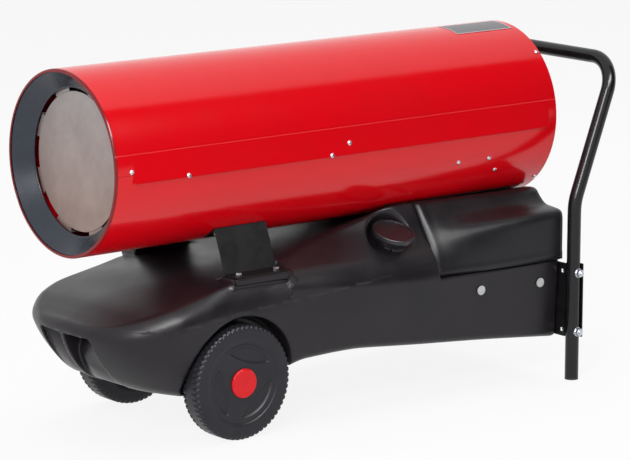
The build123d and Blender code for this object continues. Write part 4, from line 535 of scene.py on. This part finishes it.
def wheel_profile():
    """Radius and distance from the middle plane along the wheel's section, from the hub's bore
    round the back, the tread and the face to the bore again; the tyre's two edges are quarter
    circles."""
    bend = np.linspace(0, np.pi / 2, tyre_steps)
    tyre, rim = wheel_radius - tyre_round, wheel_groove + groove_width
    tread = np.linspace(wheel_inner + tyre_round, wheel_outer - tyre_round, 16)[1:-1]
    back, sunk = wheel_inner + back_hollow, wheel_face - groove_depth
    return np.concatenate([
        run_of((hub_bore, hub_inner), (hub_radius, hub_inner), 3),
        run_of((hub_radius, hub_inner), (hub_radius + back_hollow, back), 2),
        run_of((hub_radius + back_hollow, back), (wheel_groove, back), 3),
        run_of((wheel_groove, back), (rim, wheel_inner), 2),
        run_of((rim, wheel_inner), (tyre, wheel_inner), 3),
        np.stack([tyre + tyre_round * np.sin(bend),
                  wheel_inner + tyre_round * (1 - np.cos(bend))], 1),
        np.stack([np.full(len(tread), wheel_radius), tread], 1),
        np.stack([tyre + tyre_round * np.cos(bend),
                  wheel_outer - tyre_round * (1 - np.sin(bend))], 1)[:-1],
        run_of((tyre, wheel_outer), (rim, wheel_outer), 4),
        run_of((rim, wheel_outer), (rim - groove_wall, sunk), 2),
        run_of((rim - groove_wall, sunk), (wheel_groove + groove_wall, sunk), 2),
        run_of((wheel_groove + groove_wall, sunk), (wheel_groove, wheel_face), 2),
        run_of((wheel_groove, wheel_face), (pocket_radius, wheel_face), 40),
        run_of((pocket_radius, wheel_face), (pocket_radius, hub_outer), 2),
        run_of((pocket_radius, hub_outer), (hub_bore, hub_outer), 2),
        run_of((hub_bore, hub_outer), (hub_bore, hub_inner), 2)])


def ring_faces(rows, columns):
    """Quads of a grid whose rows and columns both close on themselves."""
    first = np.arange(rows * columns).reshape(rows, columns)
    right = np.roll(first, -1, 1)
    return np.stack([first, right, np.roll(right, -1, 0), np.roll(first, -1, 0)],
                    -1).reshape(-1, 4)


def wheel_grid(side):
    """The section turned about the axle. The tread is cut back where a lug's gap comes round, by
    a pulse of the angle that is half a pitch further on in the inner row; the face sinks inside
    each lens, the overlap of a circle about the axle with one about a far point."""
    section = wheel_profile()
    angle = np.linspace(0, 2 * np.pi, lug_count * lug_steps, endpoint=False)[None, :]
    radius, reach = (np.repeat(section[:, k:k + 1], angle.shape[1], 1) for k in (0, 1))
    across = (reach - wheel_inner) / (wheel_outer - wheel_inner)
    phase = (angle * lug_count / (2 * np.pi) + np.where(across > 0.5, 0.0, 0.5)) % 1
    gap = np.clip((lug_gap / 2 - np.abs(phase - 0.5)) / lug_wall + 0.5, 0, 1)
    row = np.clip((np.abs(across - 0.5) - lug_start) / lug_blend, 0, 1)
    cut = gap * row * np.clip((radius - wheel_radius + tyre_round) / lug_foot, 0, 1)
    radius = radius - lug_depth * cut
    on_face = np.isclose(reach, wheel_face)
    sunk = np.zeros(radius.shape)
    for turn in np.radians(lens_turns):
        away = np.hypot(radius * np.cos(angle) - lens_centre * np.cos(turn),
                        radius * np.sin(angle) - lens_centre * np.sin(turn))
        lens = both(away - lens_centre + lens_near, radius - lens_far, lens_round)
        slope = np.clip(-lens / lens_wall, 0, 1)
        sunk = sunk + slope * slope * (3 - 2 * slope) * on_face
    return np.stack([wheel_setback + outlet_x * 1000 + radius * np.cos(angle),
                     side * (reach - lens_depth * sunk),
                     wheel_middle + radius * np.sin(angle)], -1).reshape(-1, 3), len(section)


wheel_grey = finish_of("wheel_moulding", (0.0165, 0.0165, 0.022), (0.022, 0.022, 0.028), 30,
                       0.0009, 0.0001, (0.32, 0.44), gloss=0.28, rubbed_tone=(0.04, 0.04, 0.045),
                       edge=0.0006, worn=0.15)
for name, side in (("left", -1), ("right", 1)):
    points, rows = wheel_grid(side)
    faces = ring_faces(rows, lug_count * lug_steps)
    faces = faces if side > 0 else faces[:, ::-1]
    new_piece(f"wheel_{name}_moulding", points / 1000, faces, f"{name}_wheel", wheel_grey,
              [f"wheel_{name}"])
dress(finish_of("gloss_red_cap", (0.80, 0.012, 0.018), (0.74, 0.008, 0.014), 50, 0.002, 0.00004,
                (0.14, 0.22), gloss=0.25, edge=0.001), "hub_cap_left", "hub_cap_right")
bright_zinc = finish_of("bright_zinc", (0.66, 0.68, 0.72), (0.52, 0.54, 0.60), 120, 0.0006,
                        0.00003, (0.2, 0.36), metallic=1.0, edge=0.0004)
dress(bright_zinc, "axle", "axle_washers", "axle_clamps")

# ------------------------------------------------------------------ saddles
# Two bent plates of black-coated steel stand on pads of the deck and take the tube in front, and
# a wide saddle on the ridge takes it behind. Zinc-plated bolts hold their feet.
bracket_black = finish_of("bracket_black", (0.005, 0.0045, 0.005), (0.008, 0.0075, 0.008), 30,
                          0.0016, 0.00006, (0.38, 0.5), gloss=0.2,
                          rubbed_tone=(0.04, 0.04, 0.042), worn=0.3)
dress(bracket_black, "saddle_bracket_left", "saddle_bracket_right", "rear_saddle")
dress(bright_zinc, "bracket_bolts")

# ------------------------------------------------------------------ tube
# Two half shells of red powder-coated sheet steel lap at flanges along the sides, held by small
# domed screws, with a rolled rim at the outlet. A blank dark plate with a silver border lies on
# top near the rear, and a black wire guard closes the intake.
red_coat = finish_of("red_powder_coat", (0.74, 0.0008, 0.0065), (0.70, 0.0008, 0.0060), 6, 0.0028,
                     0.00003, (0.13, 0.18), gloss=0.4, rubbed_tone=(0.42, 0.002, 0.006),
                     worn=0.35)


def object_axes(tree):
    """X, Y and Z of a point of the piece, in metres."""
    place = put(tree, "ShaderNodeTexCoord").outputs["Object"]
    return put(tree, "ShaderNodeSeparateXYZ", {0: place}).outputs


def turn_of(tree, aside, up):
    """Angle about the tube's axis, from the top towards the side where aside is above zero."""
    return value_of(tree, "ARCTAN2", aside, value_of(tree, "SUBTRACT", up, axis_height / 1000))


# The upper sheet is set out by its own thickness where it laps over the lower one, and the
# rolled rim gets a darker red than the sheet behind it: painted shade on the rolled edge.
fold_turn, fold_width, fold_step = np.radians(78.0), np.radians(0.9), 0.0012
rim_reach, rim_shade_red = 0.0035, (0.20, 0.0004, 0.003, 1)
tree = red_coat.node_tree
shader = tree.nodes["Principled BSDF"]
axes = object_axes(tree)
turn = turn_of(tree, value_of(tree, "ABSOLUTE", axes["Y"]), axes["Z"])
fold = put(tree, "ShaderNodeMapRange",
           {"Value": turn, "From Min": float(fold_turn - fold_width / 2),
            "From Max": float(fold_turn + fold_width / 2)}, interpolation_type="SMOOTHSTEP")
fold_bump = put(tree, "ShaderNodeBump", {"Strength": 1.0, "Distance": fold_step,
                                         "Height": fold.outputs[0],
                                         "Normal": shader.inputs["Normal"].links[0].from_socket})
tree.links.new(fold_bump.outputs[0], shader.inputs["Normal"])
# Painted shade: a darker red over the rolled rim at the outlet.
at_rim = value_of(tree, "LESS_THAN", axes["X"], float(outlet_x) + rim_reach)
rim_shade_tone = put(tree, "ShaderNodeMix",
               {0: at_rim, 6: shader.inputs["Base Color"].links[0].from_socket, 7: rim_shade_red},
               data_type="RGBA")
tree.links.new(rim_shade_tone.outputs[2], shader.inputs["Base Color"])
dress(red_coat, "upper_shell", "lower_shell")
dress(bright_zinc, "shell_screws")
dress(bracket_black, "rear_guard")

plate_front, plate_rear = (float(corner.x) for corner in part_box("data_plate"))
plate_turn, plate_half_arc, plate_border = np.radians(8.5), 0.0265, 0.0022
plate_silver, tube_radius = (0.55, 0.55, 0.57, 1), 0.16
plate_finish, tree, shader = blank_material("bordered_plate")
axes = object_axes(tree)
turn = turn_of(tree, value_of(tree, "MULTIPLY", axes["Y"], -1.0), axes["Z"])
along_plate = value_of(tree, "SUBTRACT", axes["X"], (plate_front + plate_rear) / 2)
round_plate = value_of(tree, "SUBTRACT", turn, float(plate_turn))
ends = value_of(tree, "GREATER_THAN", value_of(tree, "ABSOLUTE", along_plate),
                (plate_rear - plate_front) / 2 - plate_border)
sides = value_of(tree, "GREATER_THAN", value_of(tree, "ABSOLUTE", round_plate),
                 (plate_half_arc - plate_border) / tube_radius)
border = value_of(tree, "MAXIMUM", ends, sides)
face = mottled_face(tree, (0.10, 0.098, 0.105), (0.15, 0.145, 0.155), 60, 900, (0.3, 0.45))
plate_tone = put(tree, "ShaderNodeMix", {0: border, 6: face["Color"], 7: plate_silver},
                 data_type="RGBA")
tree.links.new(plate_tone.outputs[2], shader.inputs["Base Color"])
tree.links.new(border, shader.inputs["Metallic"])
tree.links.new(face["Roughness"], shader.inputs["Roughness"])
dress(plate_finish, "data_plate")

# ------------------------------------------------------------------ outlet
# A dark blue-grey coated cone lines the tube's mouth. Behind it hangs a heat-tinted steel disc
# on tabs, and the sheet-steel combustion chamber that it shields.
dress(finish_of("cone_coat", (0.018, 0.023, 0.034), (0.024, 0.031, 0.045), 14, 0.0024, 0.00006,
                (0.22, 0.32), gloss=0.42, rubbed_tone=(0.16, 0.17, 0.19), worn=0.4),
      "outlet_cone")
# The steel's tone goes darker and warmer towards the bottom.
warm_height, cool_height, tint_grain_depth = 0.40, 0.58, 0.00006
tinted_steel, tree, shader = blank_material("heat_tinted_steel")
shader.inputs["Metallic"].default_value = 0.55
low_share = put(tree, "ShaderNodeMapRange", {"Value": object_axes(tree)["Z"],
                                             "From Min": cool_height, "From Max": warm_height})
cool = mottled_face(tree, (0.40, 0.36, 0.355), (0.34, 0.30, 0.295), 16, 500, (0.42, 0.6))
warm = mottled_face(tree, (0.37, 0.275, 0.245), (0.31, 0.225, 0.20), 16, 500, (0.42, 0.6))
height_tone = put(tree, "ShaderNodeMix", {0: low_share.outputs[0], 6: cool["Color"],
                                        7: warm["Color"]}, data_type="RGBA")
heat_bump = put(tree, "ShaderNodeBump", {"Strength": 1.0, "Distance": tint_grain_depth,
                                         "Height": cool["Height"]})
tree.links.new(height_tone.outputs[2], shader.inputs["Base Color"])
tree.links.new(cool["Roughness"], shader.inputs["Roughness"])
tree.links.new(heat_bump.outputs[0], shader.inputs["Normal"])
dress(tinted_steel, "front_disc", "combustion_chamber", "chamber_brackets")

# ------------------------------------------------------------------ burner
# The steel burner head with its swirler and brass nozzle closes the chamber's rear end. Round it
# sit the ceramic-sleeved electrodes, the flame sensor and the transformer with dark red leads.
dress(tinted_steel, "air_swirler", "burner_head")
dress(turned_brass, "fuel_nozzle", "nozzle_holder")
dress(finish_of("glazed_ceramic", (0.80, 0.77, 0.72), (0.70, 0.66, 0.60), 90, 0.001, 0.00002,
                (0.12, 0.2)), "electrode_insulators")
dress(finish_of("electrode_wire", (0.42, 0.41, 0.43), (0.30, 0.28, 0.30), 160, 0.0005, 0.00002,
                (0.3, 0.45), metallic=1.0), "electrodes")
part_black = finish_of("part_black", (0.016, 0.016, 0.017), (0.025, 0.025, 0.026), 40, 0.0009,
                       0.00008, (0.4, 0.55), rubbed_tone=(0.05, 0.05, 0.05), worn=0.2)
dress(part_black, "ignition_transformer", "flame_sensor")
dress(finish_of("lead_rubber", (0.22, 0.012, 0.010), (0.16, 0.010, 0.009), 80, 0.0008, 0.00005,
                (0.42, 0.55)), "ignition_leads")

# ------------------------------------------------------------------ motor, fan and pump
# A coated motor with die-cast shields hangs in a black bracket. Its shaft drives the pressed fan
# behind it and the gear pump in front; two black rubber hoses join the pump to the tank.
dress(finish_of("motor_coat", (0.055, 0.060, 0.070), (0.072, 0.078, 0.088), 20, 0.0015, 0.00007,
                (0.34, 0.46), rubbed_tone=(0.3, 0.3, 0.3), worn=0.3), "motor_body")
dress(finish_of("cast_aluminium", (0.50, 0.51, 0.52), (0.40, 0.41, 0.42), 60, 0.0012, 0.0001,
                (0.38, 0.55), metallic=0.9), "motor_shields", "fuel_pump")
dress(finish_of("fan_sheet", (0.60, 0.61, 0.63), (0.50, 0.51, 0.54), 40, 0.0007, 0.00003,
                (0.26, 0.4), metallic=1.0), "fan")
dress(finish_of("laminated_iron", (0.15, 0.145, 0.145), (0.20, 0.19, 0.18), 90, 0.0005, 0.00005,
                (0.4, 0.55), metallic=0.9), "rotor_core")
dress(bracket_black, "motor_carrier")
dress(bright_zinc, "rotor_shaft", "motor_bearings")
dress(part_black, "motor_capacitor", "solenoid_valve", "pump_coupling")
hose_rubber = finish_of("hose_rubber", (0.011, 0.011, 0.011), (0.018, 0.018, 0.018), 60, 0.0008,
                        0.00006, (0.45, 0.6))
dress(hose_rubber, "fuel_hoses")

# ------------------------------------------------------------------ control housing
# A moulded cover in the tank's colour closes the control recess beside the tube. Its rear panel
# carries a switch knob, a red reset button, an amber lamp, a thermostat socket with a sprung lid
# and the cable gland; the circuit board lies inside.
cover_charcoal = finish_of("cover_charcoal", (0.0115, 0.011, 0.0135), (0.017, 0.0155, 0.018), 12,
                           0.001, 0.0001, (0.28, 0.36), gloss=0.26,
                           rubbed_tone=(0.05, 0.048, 0.052), edge=0.002, worn=0.2)
cover_start, cover_length, cover_wall, cover_rows = 683.5, 284.5, 2.5, 44
cover_inset, cover_bend, bend_steps, corner_cuts = 14.0, 6.0, 7, 3
bead_setback, bead_width, bead_height = 9.0, 3.5, 1.6
band_height, band_blend, change_speed = 238.0, 3.0, 1.6
cover_front = np.array(((-173, 224), (-170.5, 240), (-165, 257), (-156, 274), (-148, 287),
                        (-141, 299), (-134, 311), (-126, 325), (-117, 339), (-108, 350),
                        (-90, 346)), float)
cover_rear = np.array(((-193, 224), (-193, 250), (-193, 280), (-193, 303), (-189.5, 311.5),
                       (-181, 315), (-163, 316.8), (-146, 318.5), (-133, 329), (-118, 347),
                       (-88, 342.5)), float)


def rounded(line, times):
    """A line whose corners are cut off at a quarter of each run, as often as told; ends stay."""
    for _ in range(times):
        cut = np.stack([0.75 * line[:-1] + 0.25 * line[1:], 0.25 * line[:-1] + 0.75 * line[1:]], 1)
        line = np.concatenate([line[:1], cut.reshape(-1, 2)[1:-1], line[-1:]])
    return line


def cover_grid():
    """The front profile goes over into the rear one along the cover, quickly at first. Its front
    edge is a quarter circle with a low bead behind it, and a band over the lip stands out."""
    bend = np.linspace(0, np.pi / 2, bend_steps)
    inset = np.concatenate([[cover_inset], cover_bend * (1 - np.sin(bend)),
                            np.zeros(cover_rows)])
    along = np.concatenate([[0.0], cover_bend * (1 - np.cos(bend)),
                            np.linspace(cover_bend, cover_length, cover_rows + 1)[1:]])
    share = 1 - (1 - along / cover_length) ** change_speed
    front, rear = rounded(cover_front, corner_cuts), rounded(cover_rear, corner_cuts)
    line = front + share[:, None, None] * (rear - front)
    run = np.gradient(line, axis=1)
    out = np.stack([-run[..., 1], run[..., 0]], -1) / np.linalg.norm(run, axis=-1, keepdims=True)
    proud = bead_height * np.exp(-((along - bead_setback) / bead_width) ** 2) - inset
    proud = proud[:, None] + np.clip((band_height - line[..., 1]) / band_blend, 0, 1)
    line = line + out * proud[..., None]
    setback = np.broadcast_to(along[:, None] + cover_start + outlet_x * 1000, line.shape[:2])
    return np.concatenate([setback[..., None], line], -1)


grid = cover_grid()
first = np.arange(grid.shape[0] * grid.shape[1]).reshape(grid.shape[:2])
faces = np.stack([first[:-1, :-1], first[1:, :-1], first[1:, 1:], first[:-1, 1:]], -1)
cover = new_piece("cover_moulding", grid.reshape(-1, 3) / 1000, faces.reshape(-1, 4), "heater",
                  cover_charcoal, ["control_cover"])
wall = cover.modifiers.new("wall", "SOLIDIFY")
wall.thickness, wall.offset = cover_wall / 1000, -1
dress(cover_charcoal, "control_panel")
dress(finish_of("control_black", (0.010, 0.010, 0.011), (0.015, 0.015, 0.016), 70, 0.0008,
                0.00006, (0.25, 0.38), rubbed_tone=(0.05, 0.05, 0.05), worn=0.2),
      "switch_knob", "thermostat_socket", "socket_cap", "cable_gland")
dress(finish_of("button_red", (0.62, 0.018, 0.014), (0.55, 0.014, 0.012), 90, 0.001, 0.00003,
                (0.18, 0.28)), "reset_button")
dress(finish_of("lamp_amber", (0.85, 0.30, 0.03), (0.78, 0.25, 0.02), 120, 0.001, 0.00002,
                (0.08, 0.14)), "indicator_lamp")
dress(finish_of("board_green", (0.025, 0.12, 0.05), (0.03, 0.15, 0.06), 80, 0.0014, 0.00008,
                (0.3, 0.45)), "control_board")

# ------------------------------------------------------------------ filler cap
# A cap of black moulded plastic, worn grey at its edges by hands, screws down on the neck in the
# tank's scoop. A ring of the same rubber as the hoses seals it.
dress(finish_of("cap_black", (0.013, 0.012, 0.015), (0.018, 0.017, 0.020), 50, 0.0009, 0.00007,
                (0.28, 0.4), rubbed_tone=(0.09, 0.088, 0.095), edge=0.0012, worn=0.6),
      "fuel_cap")
dress(hose_rubber, "cap_gasket")

# ------------------------------------------------------------------ handle and legs
# One steel tube, bent to a grip bar above and two legs below and coated gloss black, is bolted
# through plates to the tank's rear end and stands on rubber feet.
dress(finish_of("gloss_black_coat", (0.0075, 0.0075, 0.009), (0.010, 0.010, 0.012), 18, 0.0022,
                0.00003, (0.16, 0.24), gloss=0.34), "handle_frame")
dress(bracket_black, "leg_plates")
dress(bright_zinc, "leg_bolts")
dress(finish_of("foot_rubber", (0.014, 0.014, 0.014), (0.020, 0.020, 0.020), 80, 0.0009, 0.00007,
                (0.5, 0.65)), "leg_feet")
